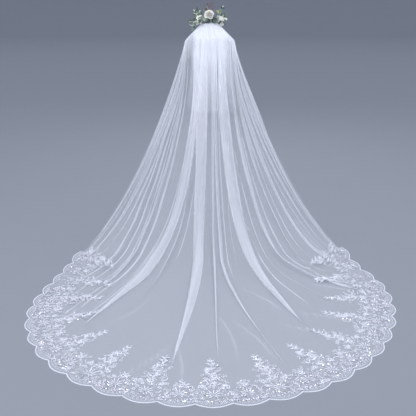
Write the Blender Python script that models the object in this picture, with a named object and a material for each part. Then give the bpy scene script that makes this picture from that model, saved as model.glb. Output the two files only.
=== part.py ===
"""A two-tier cathedral bridal veil, built as it hangs when it is worn.

Both tiers are tulle, gathered onto a hair comb. The long one runs over the wearer's shoulders,
falls behind and lies on the floor as a round train with a scalloped lace hem. A spray of silk
flowers on a taped wire sits on the gathers. The hollow under the shoulders is open: the wearer
stands in it. The origin is the comb, +Z is up, and the train trails towards -Y.
"""

import math

import bpy
import numpy as np

# The drape, in metres and degrees.
COMB_HEIGHT = 1.64  # of the comb above the floor
COMB_HALF = 0.050
SHOULDER_DROP = 0.137  # from the comb to the points of the shoulders
SHOULDER_HALF = 0.173
SHOULDER_BACK = 0.105  # how far behind the comb the cloth crosses the shoulder blades
SHOULDER_WRAP = 100.0  # how far round to each side the cloth covers the shoulders
LANDING_HALF = 0.94  # where the cloth meets the floor: half its width,
LANDING_SHIFT = 0.02  # how much further right both side edges are,
LANDING_BACK = 0.74  # how far behind the comb it is in the middle,
LANDING_CURVE = 0.345  # how much less than that at the side edges,
LANDING_SKEW = 0.035  # and how much less again on the right, more on the left
TRAIN_CENTRE = (0.0, -1.26)  # the hem goes round this point behind the comb,
TRAIN_SWEEP = 130.5  # this far round to each side,
TRAIN_TURN = 0.85  # turned a little to the right
FLARE_EDGE, FLARE_CORE = 1.05, 2.3  # powers: how late the cloth swings outwards,
FLARE_LATE = 0.25  # the share of it at the side edges that comes last of all, by a fourth power
LEAN_EDGE, LEAN_CORE = 1.15, 1.45  # powers: how late it swings backwards
BEND_STARTS = 0.74  # share of the fall after which it curves on to the floor
BEND_REACH = 0.42  # how far the curve runs along the floor in the middle

# Stages of the way down: comb 0, shoulder 1, start of the curve 2, flat on the floor 3, hem 4.
SHOULDER, BEND, FLOOR, HEM = 1.0, 2.0, 3.0, 4.0
CORNER_SPAN = 0.30  # either side of the shoulder, where the corner is rounded

# The cloth.
WALL = 0.0012
SEAM = 0.0003  # the gap where pieces meet
SCALLOPS = 29
STEPS = 4  # columns for each scallop, and for each gather above it
SCALLOP_DEPTH = 0.028
# How far the scallops' tips are from the train's centre, by the number of scallops from the
# left: both corners are pulled out.
TIP_AT = (0, 1, 2, 3, 4, 6, 8, 10, 12, 14, 16, 18, 20, 22, 24, 25.5, 27, 28, 29)
TIP_RADIUS = (
    1.275, 1.160, 1.106, 1.088, 1.094, 1.126, 1.142, 1.159, 1.167, 1.158, 1.150, 1.144, 1.133,
    1.127, 1.143, 1.164, 1.170, 1.222, 1.360,
)
LACE_MARGIN = 0.030  # bare net between the lace and the hem
SPRAYS = SCALLOPS / 2  # one for each two scallops
LACE_VALLEY, LACE_PEAK = 0.17, 0.44  # the lace reaches this far in from the hem
HEM_FADE = 0.10  # the folds have died out this close to the hem
LACE_WALL = 0.0012
CORD_WIDTH, CORD_HEIGHT, CORD_GAP = 0.0070, 0.0026, 0.0005

# The gathers stand out from the cloth by this much at these stages.
GATHER_AT = (0.0, 1.0, 1.5, 2.0, 3.0, 3.4)
GATHER_HEIGHT = (0.0014, 0.0070, 0.0110, 0.0130, 0.0080, 0.0)

# The large folds: where each lies across the cloth (-1 left edge, 1 right edge) at the
# shoulder, half-way down, where it lands and at the hem, then its width and height where it
# lands, and the stage at which it has faded out.
FOLD_COLUMNS = ("shoulder", "middle", "landing", "hem", "width", "height", "ends")
FOLDS = (
    (-0.93, -0.94, -0.930, -0.881, 0.060, 0.026, 3.5),
    (-0.80, -0.85, -0.655, -0.560, 0.050, 0.024, 3.5),
    (-0.64, -0.72, -0.533, -0.482, 0.060, 0.030, 3.6),
    (-0.27, -0.32, -0.384, -0.394, 0.095, 0.042, 3.8),
    (-0.20, -0.24, -0.281, -0.297, 0.050, 0.024, 3.3),
    (-0.10, -0.12, -0.075, -0.102, 0.100, 0.042, 3.6),
    (0.00, -0.01, 0.028, 0.005, 0.055, 0.028, 3.6),
    (0.07, 0.09, 0.075, 0.180, 0.050, 0.026, 3.7),
    (0.27, 0.30, 0.288, 0.287, 0.095, 0.042, 3.8),
    (0.50, 0.55, 0.463, 0.754, 0.060, 0.034, 3.6),
    (0.66, 0.73, 0.600, 0.492, 0.045, 0.022, 3.3),
    (0.82, 0.86, 0.790, 0.822, 0.050, 0.024, 3.6),
    (0.93, 0.94, 0.940, 0.948, 0.060, 0.026, 3.5),
)
FOLD_AT = (0.0, 1.0, 1.5, 2.0, 2.6)  # a fold grows to its full height and width
FOLD_HEIGHT_SHARE = (0.02, 0.12, 0.40, 0.85, 1.0)
FOLD_WIDTH_SHARE = (0.08, 0.20, 0.45, 0.75, 1.0)

# The short tier lies over the long one, in the same gathers' place on the comb.
SHORT_GATHERS = 15
SHORT_LENGTH = 1.44  # the stage that its hem hangs at in the middle
SHORT_ROUNDING = 0.06  # how much higher it is at its sides
SHORT_AT = (0.0, 1.0, 1.15, 1.5)
SHORT_REACH = (1.0, 0.43, 0.48, 0.58)  # share of the long tier's width that it covers
SHORT_SHIFT = (0.0, 0.045, 0.070, 0.080)  # and how far to the right of its middle
SHORT_CLEAR = 0.0012  # from the long tier's highest folds
SHORT_HEIGHT = (0.0012, 0.0060, 0.0080, 0.0100)  # of its gathers

# The comb and the band that the gathers are sewn to.
TEETH = 14
COMB_THICK = 0.0014
COMB_BAR = 0.009
TOOTH_LENGTH = 0.038
TOOTH_CURVE = 5.5  # how fast the teeth curve in towards the head, per metre
BAND_HEIGHT = 0.011
BAND_DEPTH = 0.011
BAND_FRONT = 0.0016  # the band's face on the head's side

# The spray of flowers: a taped wire that the stems stand on.
WIRE_RADIUS = 0.0024
WIRE_FLAT = 0.058  # half of the stretch that lies on the band
WIRE_LEFT, WIRE_RIGHT = -0.128, 0.112
WIRE_DROOP = 6.0
STEM_RADIUS = 0.0011
STEM_GAP = 0.0006

# Blossoms: place along the wire, direction of the stem, its length, the bloom's radius.
BLOSSOM_COLUMNS = ("name", "along", "direction", "stem", "radius")
BLOSSOMS = (
    ("blossom_left", -0.074, (-0.20, -0.85, 0.50), 0.032, 0.018),
    ("blossom_far_left", -0.094, (0.05, -0.90, -0.38), 0.026, 0.015),
    ("blossom_right", 0.078, (0.15, -0.88, 0.42), 0.030, 0.018),
    ("blossom_low_right", 0.086, (0.10, -0.80, -0.58), 0.032, 0.017),
    ("blossom_far_right", 0.108, (0.35, -0.60, 0.72), 0.026, 0.012),
    ("bud_yellow", 0.042, (0.22, -0.40, 0.88), 0.060, 0.012),
)

# Sprigs: place along the wire, direction, length, widest leaf, pairs of leaves, droop.
SPRIG_COLUMNS = ("name", "along", "direction", "length", "leaf", "pairs", "droop")
SPRIGS = (
    ("sprig_far_left", -0.118, (-0.75, 0.20, 0.50), 0.058, 0.012, 4, 0.9),
    ("sprig_hanging_left", -0.104, (-0.35, 0.15, -0.90), 0.066, 0.011, 4, 0.1),
    ("sprig_left", -0.086, (-0.30, 0.35, 0.88), 0.084, 0.014, 4, 0.2),
    ("sprig_top_left", -0.048, (-0.42, 0.40, 0.85), 0.112, 0.014, 5, 0.3),
    ("sprig_top", -0.014, (-0.10, 0.45, 0.90), 0.112, 0.012, 5, 0.2),
    ("sprig_top_right", 0.062, (0.30, 0.40, 0.88), 0.116, 0.014, 5, 0.2),
    ("sprig_right", 0.094, (0.30, 0.35, 0.85), 0.072, 0.014, 4, 0.3),
    ("twig_berries", 0.012, (-0.04, 0.30, 0.95), 0.128, 0.005, 6, 0.1),
)
SPRIG_THICK = 0.0012

ROSE_RADIUS = 0.040
ROSE_DIRECTION = (0.0, -0.62, 0.78)
ROSE_STEM = 0.022


def material(name, colour, roughness, metallic=0.0):
    """A Principled material of this linear colour."""
    made = bpy.data.materials.new(name)
    made.use_nodes = True
    shader = made.node_tree.nodes["Principled BSDF"]
    shader.inputs["Base Color"].default_value = (*colour, 1.0)
    shader.inputs["Roughness"].default_value = roughness
    shader.inputs["Metallic"].default_value = metallic
    made.diffuse_color = (*colour, 1.0)
    return made


def finish_object(name, points, faces, stuff):
    """One named object from its points and faces, shaded smooth but for its sharp edges."""
    mesh = bpy.data.meshes.new(name)
    mesh.from_pydata(points.tolist(), [], faces)
    mesh.materials.append(stuff)
    mesh.shade_smooth()
    mesh.set_sharp_from_angle(angle=math.radians(40))
    made = bpy.data.objects.new(name, mesh)
    bpy.context.scene.collection.objects.link(made)
    return made


def unit(vectors):
    vectors = np.asarray(vectors, float)
    return vectors / np.linalg.norm(vectors, axis=-1, keepdims=True)


def ease(x):
    """0 to 1 with level ends."""
    x = np.clip(x, 0.0, 1.0)
    return x * x * (3 - 2 * x)


# ---- The drape: a point of the smooth cloth for each place (across, down) ----


def shoulder_ring(across):
    """The cloth at the height of the shoulders: an arc round the back."""
    angle = np.radians(SHOULDER_WRAP) * across
    return np.stack(
        [
            SHOULDER_HALF * np.sin(angle),
            -SHOULDER_BACK * np.cos(angle),
            np.full_like(across, -SHOULDER_DROP),
        ],
        -1,
    )


def landing_line(across):
    """Where the fall would meet the floor if it didn't curve."""
    return np.stack(
        [
            LANDING_HALF * across + LANDING_SHIFT * across**2,
            LANDING_CURVE * across**2 + LANDING_SKEW * across**3 - LANDING_BACK,
            np.full_like(across, -COMB_HEIGHT),
        ],
        -1,
    )


def tip_radius(across):
    """How far the scallops' tips are from the train's centre, at a place round the hem."""
    return np.interp(SCALLOPS * (across + 1) / 2, TIP_AT, TIP_RADIUS)


def hem_radius(across):
    """The same for the hem itself, which comes in between the tips."""
    lobe = np.abs(np.sin(np.pi * SCALLOPS * (across + 1) / 2)) ** 0.9
    return tip_radius(across) - SCALLOP_DEPTH * (1 - lobe)


def round_line(across, radius):
    """Points on the floor at these distances from the train's centre."""
    angle = np.radians(TRAIN_TURN + TRAIN_SWEEP * across)
    return np.stack(
        [
            TRAIN_CENTRE[0] + radius * np.sin(angle),
            TRAIN_CENTRE[1] - radius * np.cos(angle),
            np.full_like(across, -COMB_HEIGHT),
        ],
        -1,
    )


def hem_line(across):
    """The scalloped line that the hem lies on."""
    return round_line(across, hem_radius(across))


def fall(across, share):
    """From the shoulders, share 0, to the landing line, share 1: down evenly, and later out."""
    share = np.maximum(share, 0.0)
    top, foot = shoulder_ring(across), landing_line(across)
    core = 1 - across**4
    flare = FLARE_EDGE + (FLARE_CORE - FLARE_EDGE) * core
    lean = LEAN_EDGE + (LEAN_CORE - LEAN_EDGE) * core
    late = FLARE_LATE * across**4
    way = np.stack([(1 - late) * share**flare + late * share**4, share**lean, share], -1)
    return top + (foot - top) * way


def smooth_cloth(across, down):
    """The cloth with no folds: comb to shoulder, fall, curve on to the floor, train."""
    across, down = np.broadcast_arrays(np.asarray(across, float), np.asarray(down, float))
    comb = np.stack([COMB_HALF * across, 0 * across, 0 * across], -1)
    over = comb + (shoulder_ring(across) - comb) * down[..., None]
    hang = fall(across, (down - SHOULDER) * BEND_STARTS)
    corner = ease((down - SHOULDER) / (2 * CORNER_SPAN) + 0.5)[..., None]
    upper = over + (hang - over) * corner

    foot, hem = landing_line(across), hem_line(across)
    along = unit(round_line(across, tip_radius(across)) - foot)
    reach = (BEND_REACH * (1 - across**4) + 0.01)[..., None]
    start = fall(across, np.full_like(down, BEND_STARTS))
    before = fall(across, np.full_like(down, BEND_STARTS - 0.01))
    first = start + (start - before) * 100 * (1 - BEND_STARTS) * 0.62
    last = foot + along * reach
    second = last - along * reach * 0.7
    t = np.clip(down - BEND, 0, 1)[..., None]
    bend = (1 - t) ** 3 * start + 3 * t * (1 - t) ** 2 * first
    bend = bend + 3 * t**2 * (1 - t) * second + t**3 * last

    laid = last + (hem - last) * (down - FLOOR)[..., None]
    lower = np.where((down < FLOOR)[..., None], bend, laid)
    return np.where((down < BEND)[..., None], upper, lower)


def outward(across, down):
    """The way out of the cloth: level at the comb, square to the fall, up on the train."""
    step = 1e-3
    inside = np.clip(down, step, HEM - step)
    side = smooth_cloth(across + step, inside) - smooth_cloth(across - step, inside)
    ahead = smooth_cloth(across, inside + step) - smooth_cloth(across, inside - step)
    normal = unit(np.cross(ahead, side))
    normal[..., 2] *= ease(down / SHOULDER)
    normal = unit(normal)
    flat = (down >= FLOOR)[..., None]
    return np.where(flat, np.array([0.0, 0.0, 1.0]), normal)


def fold_height(across, down):
    """How far the gathers and the large folds stand out from the smooth cloth."""
    across, down = np.broadcast_arrays(np.asarray(across, float), np.asarray(down, float))
    turns = SCALLOPS * (across + 1) / 2
    uneven = 0.72 + 0.28 * np.sin(5.3 * across + 1.7)
    gathers = np.interp(down, GATHER_AT, GATHER_HEIGHT)
    height = gathers * uneven * (0.5 + 0.5 * np.cos(2 * np.pi * turns))
    width_here = np.linalg.norm(
        smooth_cloth(across + 1e-3, down) - smooth_cloth(across - 1e-3, down), axis=-1
    ) / 2e-3
    for row in FOLDS:
        fold = dict(zip(FOLD_COLUMNS, row))
        places = [fold[name] for name in ("shoulder", "middle", "landing", "hem")]
        middle = np.interp(down, (SHOULDER, 1.6, 2.6, HEM), places)
        grown = np.interp(down, FOLD_AT, FOLD_HEIGHT_SHARE)
        left = np.clip((fold["ends"] - down) / (fold["ends"] - FOLD_AT[-1]), 0, 1)
        half = fold["width"] / 2 * np.interp(down, FOLD_AT, FOLD_WIDTH_SHARE)
        half = half * (0.35 + 0.65 * left)
        off = np.clip((across - middle) * width_here / half, -1, 1)
        height = height + fold["height"] * grown * left * np.cos(off * np.pi / 2) ** 2
    to_hem = np.linalg.norm(smooth_cloth(across, down) - hem_line(across), axis=-1)
    return height * ease(to_hem / HEM_FADE)


def cloth(across, down, lift):
    """A point of the folded cloth, lifted off its inner face by this much."""
    out = fold_height(across, down) + lift
    return smooth_cloth(across, down) + outward(across, down) * out[..., None]


def lace_reach(turned):
    """How far in from the hem the lace reaches, at a place round the hem: a peak a spray."""
    turns = SPRAYS * (turned + 1) / 2 - 0.25
    peak = (0.5 + 0.5 * np.cos(2 * np.pi * turns)) ** 1.6
    return LACE_VALLEY + (LACE_PEAK - LACE_VALLEY) * peak


def stage_at(across, share, margin):
    """The stage on each line of the cloth at this share of the lace's reach from the hem.

    Distances from the hem run square to it, and up where the cloth rises.
    """
    stages = np.linspace(HEM, BEND, 500)
    found = []
    for one in across:
        x, y, z = smooth_cloth(np.full_like(stages, one), stages).T
        x, y = x - TRAIN_CENTRE[0], y - TRAIN_CENTRE[1]
        turned = (np.degrees(np.arctan2(x, -y)) - TRAIN_TURN) / TRAIN_SWEEP
        turned = np.clip(turned, -1, 1)
        inwards = hem_radius(turned) - np.hypot(x, y) + z + COMB_HEIGHT
        beyond = inwards > np.maximum(share * lace_reach(turned), margin)
        found.append(stages[np.argmax(beyond)])
    return np.array(found)


# ---- Walls ----


def wall(name, inner, outer, stuff, kept=None):
    """A closed wall between two grids of points, open where kept is False.

    Rows run down the cloth and columns across it, so the outer faces point outwards.
    """
    rows, columns = inner.shape[:2]
    if kept is None:
        kept = np.ones((rows - 1, columns - 1), bool)
    index = np.arange(rows * columns).reshape(rows, columns)
    a, b = index[:-1, :-1][kept], index[1:, :-1][kept]
    c, d = index[1:, 1:][kept], index[:-1, 1:][kept]
    front = np.concatenate([np.stack([a, b, c], -1), np.stack([a, c, d], -1)])
    edges = np.concatenate([front[:, [0, 1]], front[:, [1, 2]], front[:, [2, 0]]])
    there = {tuple(edge) for edge in edges.tolist()}
    rim = [edge for edge in there if edge[::-1] not in there]
    shift = rows * columns
    faces = front.tolist() + (front[:, ::-1] + shift).tolist()
    for start, end in sorted(rim):
        faces.append([end, start, start + shift])
        faces.append([end, start + shift, end + shift])
    points = np.concatenate([outer.reshape(-1, 3), inner.reshape(-1, 3)])
    used = np.unique(faces)
    place = np.zeros(len(points), int)
    place[used] = np.arange(len(used))
    return finish_object(name, points[used], place[np.array(faces)].tolist(), stuff)


def round_body(name, rings, stuff):
    """A closed body through rings of points, which turn anticlockwise about its direction."""
    count, sides = rings.shape[:2]
    faces = [list(reversed(range(sides)))]
    for i in range(count - 1):
        for k in range(sides):
            n = (k + 1) % sides
            faces.append([i * sides + k, i * sides + n, (i + 1) * sides + n, (i + 1) * sides + k])
    faces.append([(count - 1) * sides + k for k in range(sides)])
    return finish_object(name, rings.reshape(-1, 3), faces, stuff)


def tube(name, line, radii, sides, stuff):
    """A closed round bar along a line, with a radius for each of its points."""
    line, radii = np.asarray(line, float), np.asarray(radii, float)
    ahead = unit(np.gradient(line, axis=0))
    level = np.array([0.0, 1.0, 0.0]) if abs(ahead[0][1]) < 0.8 else np.array([1.0, 0.0, 0.0])
    across = unit(np.cross(ahead, level))
    upright = np.cross(ahead, across)
    angles = (2 * np.pi * np.arange(sides) / sides)[:, None, None]
    ring = np.cos(angles) * across + np.sin(angles) * upright
    return round_body(name, (line + ring * radii[:, None]).transpose(1, 0, 2), stuff)


# ---- The veil's pieces ----

ACROSS = np.linspace(-1.0, 1.0, SCALLOPS * STEPS + 1)
FALL_ROWS = np.array([0.0, 0.5, 0.9, 1.15, 1.35, 1.55, 1.77, BEND - SEAM / 2])


def long_tier(stuff):
    """The long tier from the comb to where it starts to curve on to the floor."""
    across, down = np.broadcast_arrays(ACROSS[None, :], FALL_ROWS[:, None])
    return wall("long_tier_fall", cloth(across, down, 0.0), cloth(across, down, WALL), stuff)


def lace_rows():
    """The lace's inner edge in peaks, two lines inside it and its outer edge."""
    return [stage_at(ACROSS, share, LACE_MARGIN) for share in (1.0, 0.66, 0.36, 0.0)]


def train(stuff, lace):
    """The stretch that curves on to the floor and lies there, down to the scalloped hem."""
    top = np.full_like(ACROSS, BEND + SEAM / 2)
    between = [top + (lace[0] - top) * share for share in (0.0, 0.16, 0.33, 0.52, 0.75)]
    down = np.stack([*between, *lace, np.full_like(ACROSS, HEM)])
    across = np.broadcast_to(ACROSS, down.shape)
    return wall("train", cloth(across, down, 0.0), cloth(across, down, WALL), stuff)


def lace_border(stuff, lace):
    """The embroidered border on the train, with the gap between its sprays cut through."""
    down = np.stack(lace)
    across = np.broadcast_to(ACROSS, down.shape)
    lift = WALL + SEAM
    kept = np.ones((len(lace) - 1, len(ACROSS) - 1), bool)
    for scallop in range(1, SCALLOPS):
        between = scallop * STEPS
        kept[1, between - 1 : between + 1] = False
    return wall(
        "lace_border", cloth(across, down, lift), cloth(across, down, lift + LACE_WALL), stuff, kept
    )


def hem_cord(stuff):
    """The corded edge, outside the net and just clear of it, lying on the floor."""
    line = hem_line(ACROSS)
    ends = unit(np.diff(line, axis=0))
    along = np.concatenate([ends[:1], ends[:-1] + ends[1:], ends[-1:]])
    out = unit(np.stack([along[:, 1], -along[:, 0], 0 * along[:, 0]], -1))
    turn = (ends[:-1] * ends[1:]).sum(-1)
    stretch = np.ones(len(line))
    stretch[1:-1] = 1 / np.sqrt((1 + turn) / 2)
    out = out * stretch[:, None]
    up = np.array([0.0, 0.0, 1.0])
    near, far = CORD_GAP, CORD_GAP + CORD_WIDTH
    inset = CORD_WIDTH * 0.22
    lower = [line + out * near, line + out * far]
    upper = [
        line + out * (near + inset) + up * CORD_HEIGHT,
        line + out * (far - inset) + up * CORD_HEIGHT,
    ]
    return wall("hem_cord", np.stack(lower), np.stack(upper), stuff)


def short_tier(stuff):
    """The short tier over the long one: narrower, and rounded off at its sides."""
    side = np.linspace(-1.0, 1.0, SHORT_GATHERS * STEPS + 1)
    ends = SHORT_LENGTH - SHORT_ROUNDING * side**4
    rows = FALL_ROWS[FALL_ROWS <= SHORT_LENGTH][:, None]
    free = (ends - SHORT_AT[2]) / (SHORT_LENGTH - SHORT_AT[2])
    down = np.where(rows <= SHORT_AT[2], rows, SHORT_AT[2] + (rows - SHORT_AT[2]) * free)
    across = side * np.interp(down, SHORT_AT, SHORT_REACH) + np.interp(down, SHORT_AT, SHORT_SHIFT)
    waves = 0.5 + 0.5 * np.cos(2 * np.pi * SHORT_GATHERS * (side + 1) / 2)
    tallest = max(dict(zip(FOLD_COLUMNS, row))["height"] for row in FOLDS)
    under = np.interp(down, GATHER_AT, GATHER_HEIGHT)
    under = under + tallest * np.interp(down, FOLD_AT, FOLD_HEIGHT_SHARE)
    lift = under + WALL + SHORT_CLEAR + np.interp(down, SHORT_AT, SHORT_HEIGHT) * waves
    base, normal = smooth_cloth(across, down), outward(across, down)
    inner = base + normal * lift[..., None]
    return wall("short_tier", inner, inner + normal * WALL, stuff)


def comb(stuff):
    """A hair comb: a bar with teeth that curve in towards the head."""
    pitch = 2 * COMB_HALF / (TEETH - 0.45)
    left = -COMB_HALF + pitch * np.arange(TEETH)
    across = np.sort(np.concatenate([left, left + pitch * 0.55]))
    depth = -TOOTH_LENGTH * np.array([0.35, 0.7, 1.0])
    height = np.concatenate([[COMB_BAR, 0.0], depth])
    x, z = np.meshgrid(across, height)
    middle = np.repeat(left + pitch * 0.275, 2)
    taper = np.interp(-z, [0.0, TOOTH_LENGTH], [1.0, 0.45])
    x = middle + (x - middle) * taper
    y = BAND_FRONT + SEAM + TOOTH_CURVE * np.minimum(z, 0) ** 2
    back = np.stack([x, y, z], -1)
    front = back + np.array([0.0, COMB_THICK, 0.0])
    kept = np.ones((len(height) - 1, len(across) - 1), bool)
    kept[1:, 1::2] = False
    return wall("comb", front, back, stuff, kept)


def gather_band(stuff):
    """The ribbon band on top of both tiers' gathers, sewn to the comb's bar."""
    bpy.ops.mesh.primitive_cube_add(
        size=1.0, location=(0, BAND_FRONT - BAND_DEPTH / 2, SEAM + BAND_HEIGHT / 2)
    )
    made = bpy.context.object
    made.name = made.data.name = "gather_band"
    made.scale = (2 * COMB_HALF + 0.004, BAND_DEPTH, BAND_HEIGHT)
    bpy.ops.object.transform_apply(location=False, rotation=False, scale=True)
    bevel = made.modifiers.new("rounded", "BEVEL")
    bevel.width, bevel.segments = 0.002, 2
    made.data.materials.append(stuff)
    return made


# ---- The spray of flowers ----


def wire_point(along):
    """The taped wire's centre line: level on the band, drooping past its ends."""
    along = np.asarray(along, float)
    past = np.maximum(np.abs(along) - WIRE_FLAT, 0.0)
    height = SEAM + BAND_HEIGHT + SEAM + WIRE_RADIUS - WIRE_DROOP * past**2
    return np.stack([along, np.full_like(along, -BAND_DEPTH / 2), height], -1)


def stem_foot(along, direction):
    """Where a stem of this direction stands on the wire, just clear of it."""
    direction = unit(direction)
    wire = unit(wire_point(along + 0.001) - wire_point(along - 0.001))
    level = abs(float(direction @ wire))
    clear = WIRE_RADIUS + STEM_GAP + STEM_RADIUS * level
    return wire_point(along) + direction * clear / math.sqrt(1 - level**2)


def turned_flower(name, foot, direction, profile, petals, ripple, stuff, sides):
    """A bloom turned about its stem. profile has rows (distance along, radius), and the rim
    of the bloom ripples by this share for its petals."""
    direction = unit(direction)
    level = np.array([0.0, 0.0, 1.0]) if abs(direction[2]) < 0.9 else np.array([1.0, 0, 0])
    across = unit(np.cross(direction, level))
    upright = np.cross(direction, across)
    angles = 2 * np.pi * np.arange(sides) / sides
    around = np.cos(angles)[:, None] * across + np.sin(angles)[:, None] * upright
    distance, radius = np.array(profile).T
    swell = 1 + ripple * (radius / radius.max())[:, None] * np.cos(petals * angles)
    middle = foot + direction * distance[:, None]
    rings = middle[:, None] + around * (radius[:, None] * swell)[..., None]
    return round_body(name, rings, stuff)


def rose(stuff):
    """The open rose in the middle: a cup of petals with a sunk heart."""
    stem, r = ROSE_STEM, ROSE_RADIUS
    profile = (
        (0.0, STEM_RADIUS * 2),
        (stem * 0.7, STEM_RADIUS * 2),
        (stem, r * 0.30),
        (stem + r * 0.25, r * 0.72),
        (stem + r * 0.62, r * 0.98),
        (stem + r * 0.86, r),
        (stem + r * 0.98, r * 0.86),
        (stem + r * 0.90, r * 0.70),
        (stem + r * 1.12, r * 0.52),
        (stem + r * 1.02, r * 0.38),
        (stem + r * 1.16, r * 0.20),
        (stem + r * 1.12, r * 0.06),
    )
    foot = stem_foot(0.0, ROSE_DIRECTION)
    return turned_flower("rose", foot, ROSE_DIRECTION, profile, 7, 0.07, stuff, 21)


def blossoms(stuffs):
    """The small open blossoms and the closed yellow bud, each on its stem."""
    for row in BLOSSOMS:
        flower = dict(zip(BLOSSOM_COLUMNS, row))
        stem, r = flower["stem"], flower["radius"]
        bud = flower["name"].startswith("bud")
        open_bloom = ((0.35, 0.85), (0.45, 1.0), (0.38, 0.55), (0.30, 0.28), (0.42, 0.10))
        shut_bloom = ((0.45, 0.80), (1.00, 1.0), (1.60, 0.85), (2.00, 0.45), (2.15, 0.12))
        profile = [(0.0, STEM_RADIUS), (stem * 0.85, STEM_RADIUS), (stem, r * 0.28)]
        profile += [(stem + r * up, r * out) for up, out in (shut_bloom if bud else open_bloom)]
        foot = stem_foot(flower["along"], flower["direction"])
        turned_flower(
            flower["name"], foot, flower["direction"], profile, 5, 0.12 if bud else 0.30,
            stuffs[flower["name"]], 10,
        )


def sprig(row, stuff):
    """A leafy sprig: a curved ribbon whose edges swell out into pairs of leaves."""
    name, along, direction, length, leaf, pairs, droop = row
    direction = unit(direction)
    share = np.linspace(0.0, 1.0, pairs * 2 + 2)
    foot = stem_foot(along, direction)
    sag = np.array([0.0, 0.0, -1.0]) * (droop * length * share**2)[:, None] * 0.5
    line = foot + direction * (length * share)[:, None] + sag
    facing = np.array([0.0, -1.0, 0.0])
    ahead = unit(np.gradient(line, axis=0))
    aside = unit(np.cross(ahead, facing))
    flat = np.cross(aside, ahead)
    swell = np.arange(len(share)) % 2 * (share > share[1])
    half = STEM_RADIUS + leaf * swell * (1 - 0.45 * share)
    edges = [line - aside * half[:, None], line, line + aside * half[:, None]]
    cup = [0.0, SPRIG_THICK * 1.5, 0.0]
    under = np.stack([edge - flat * rise for edge, rise in zip(edges, cup)])
    return wall(name, under, under + flat * SPRIG_THICK, stuff)


def main():
    for old in list(bpy.data.objects):
        bpy.data.objects.remove(old)
    tulle = material("tulle", (0.86, 0.88, 0.93), 0.65)
    lace = material("lace", (0.92, 0.92, 0.94), 0.55)
    cord = material("satin_cord", (0.90, 0.91, 0.95), 0.35)
    steel = material("comb_wire", (0.72, 0.72, 0.74), 0.25, 1.0)
    ribbon = material("satin_ribbon", (0.90, 0.90, 0.93), 0.30)
    tape = material("floral_tape", (0.10, 0.16, 0.07), 0.70)
    petal = material("silk_petal", (0.90, 0.87, 0.80), 0.60)
    yellow = material("yellow_petal", (0.62, 0.60, 0.28), 0.60)
    green = material("silk_leaf", (0.10, 0.18, 0.12), 0.60)
    berry = material("red_berry", (0.22, 0.03, 0.04), 0.40)

    rows = lace_rows()
    long_tier(tulle)
    train(tulle, rows)
    lace_border(lace, rows)
    hem_cord(cord)
    short_tier(tulle)
    comb(steel)
    gather_band(ribbon)
    wire = wire_point(np.linspace(WIRE_LEFT, WIRE_RIGHT, 25))
    tube("flower_wire", wire, np.full(len(wire), WIRE_RADIUS), 8, tape)
    rose(petal)
    blossoms({row[0]: yellow if "yellow" in row[0] else petal for row in BLOSSOMS})
    for row in SPRIGS:
        sprig(row, berry if "berries" in row[0] else green)


main()
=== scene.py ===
"""A two-tier bridal veil: two sheets of tulle gathered on to a hair comb, an embroidered and
sequinned border, a satin hem cord, and a spray of silk flowers on the gathers.

Every sheet is a function of two numbers: across, -1 at the left edge and 1 at the right, and
down, the stage on the way from the comb (0) over the shoulders (1), down the fall (2) and
round on to the floor (3) to the hem (4).
"""

import math

import bpy
import numpy as np
from bpy.props import FloatProperty, FloatVectorProperty, IntProperty, PointerProperty
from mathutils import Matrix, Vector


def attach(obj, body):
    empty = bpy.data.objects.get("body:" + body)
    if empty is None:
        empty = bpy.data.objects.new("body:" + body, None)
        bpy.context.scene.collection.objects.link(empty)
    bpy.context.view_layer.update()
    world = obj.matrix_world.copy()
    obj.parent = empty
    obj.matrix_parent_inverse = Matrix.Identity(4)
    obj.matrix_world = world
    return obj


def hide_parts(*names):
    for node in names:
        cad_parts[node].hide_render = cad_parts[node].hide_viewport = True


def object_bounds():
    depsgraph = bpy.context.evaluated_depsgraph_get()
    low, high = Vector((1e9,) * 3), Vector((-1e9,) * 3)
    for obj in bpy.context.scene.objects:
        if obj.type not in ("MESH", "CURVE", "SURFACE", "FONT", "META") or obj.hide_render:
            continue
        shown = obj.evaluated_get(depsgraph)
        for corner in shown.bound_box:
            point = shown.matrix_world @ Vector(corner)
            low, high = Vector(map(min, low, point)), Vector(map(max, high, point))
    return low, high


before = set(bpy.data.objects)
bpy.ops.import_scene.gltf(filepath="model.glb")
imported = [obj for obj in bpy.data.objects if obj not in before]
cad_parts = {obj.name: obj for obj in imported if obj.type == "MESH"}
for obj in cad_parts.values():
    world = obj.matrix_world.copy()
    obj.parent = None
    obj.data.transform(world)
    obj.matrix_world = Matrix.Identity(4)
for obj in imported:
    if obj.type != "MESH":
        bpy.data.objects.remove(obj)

CAD_BOX = [list(corner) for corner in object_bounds()]
FLOOR_Z = CAD_BOX[0][2]

bl_info = {
    "name": "Bridal veil",
    "version": (1, 0, 0),
    "blender": (4, 5, 0),
    "location": "View3D > Sidebar > Veil",
    "description": "Makes a bridal veil with a round lace-edged train on its packed frame",
    "category": "Add Mesh",
}


def table(columns, rows):
    """Each row of a table as a dictionary by the names of its columns."""
    return [dict(zip(columns.split(), row)) for row in rows]


# ---- The drape's sizes, in metres and degrees, as the frame has them ----

COMB_HEIGHT, COMB_HALF = 1.64, 0.050
SHOULDER_DROP, SHOULDER_HALF, SHOULDER_BACK, SHOULDER_WRAP = 0.137, 0.173, 0.105, 100.0
LANDING_HALF, LANDING_SHIFT, LANDING_BACK = 0.94, 0.02, 0.74
LANDING_CURVE, LANDING_SKEW = 0.345, 0.035
TRAIN_CENTRE = (0.0, -1.26)
TRAIN_SWEEP, TRAIN_TURN = 130.5, 0.85
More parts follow.
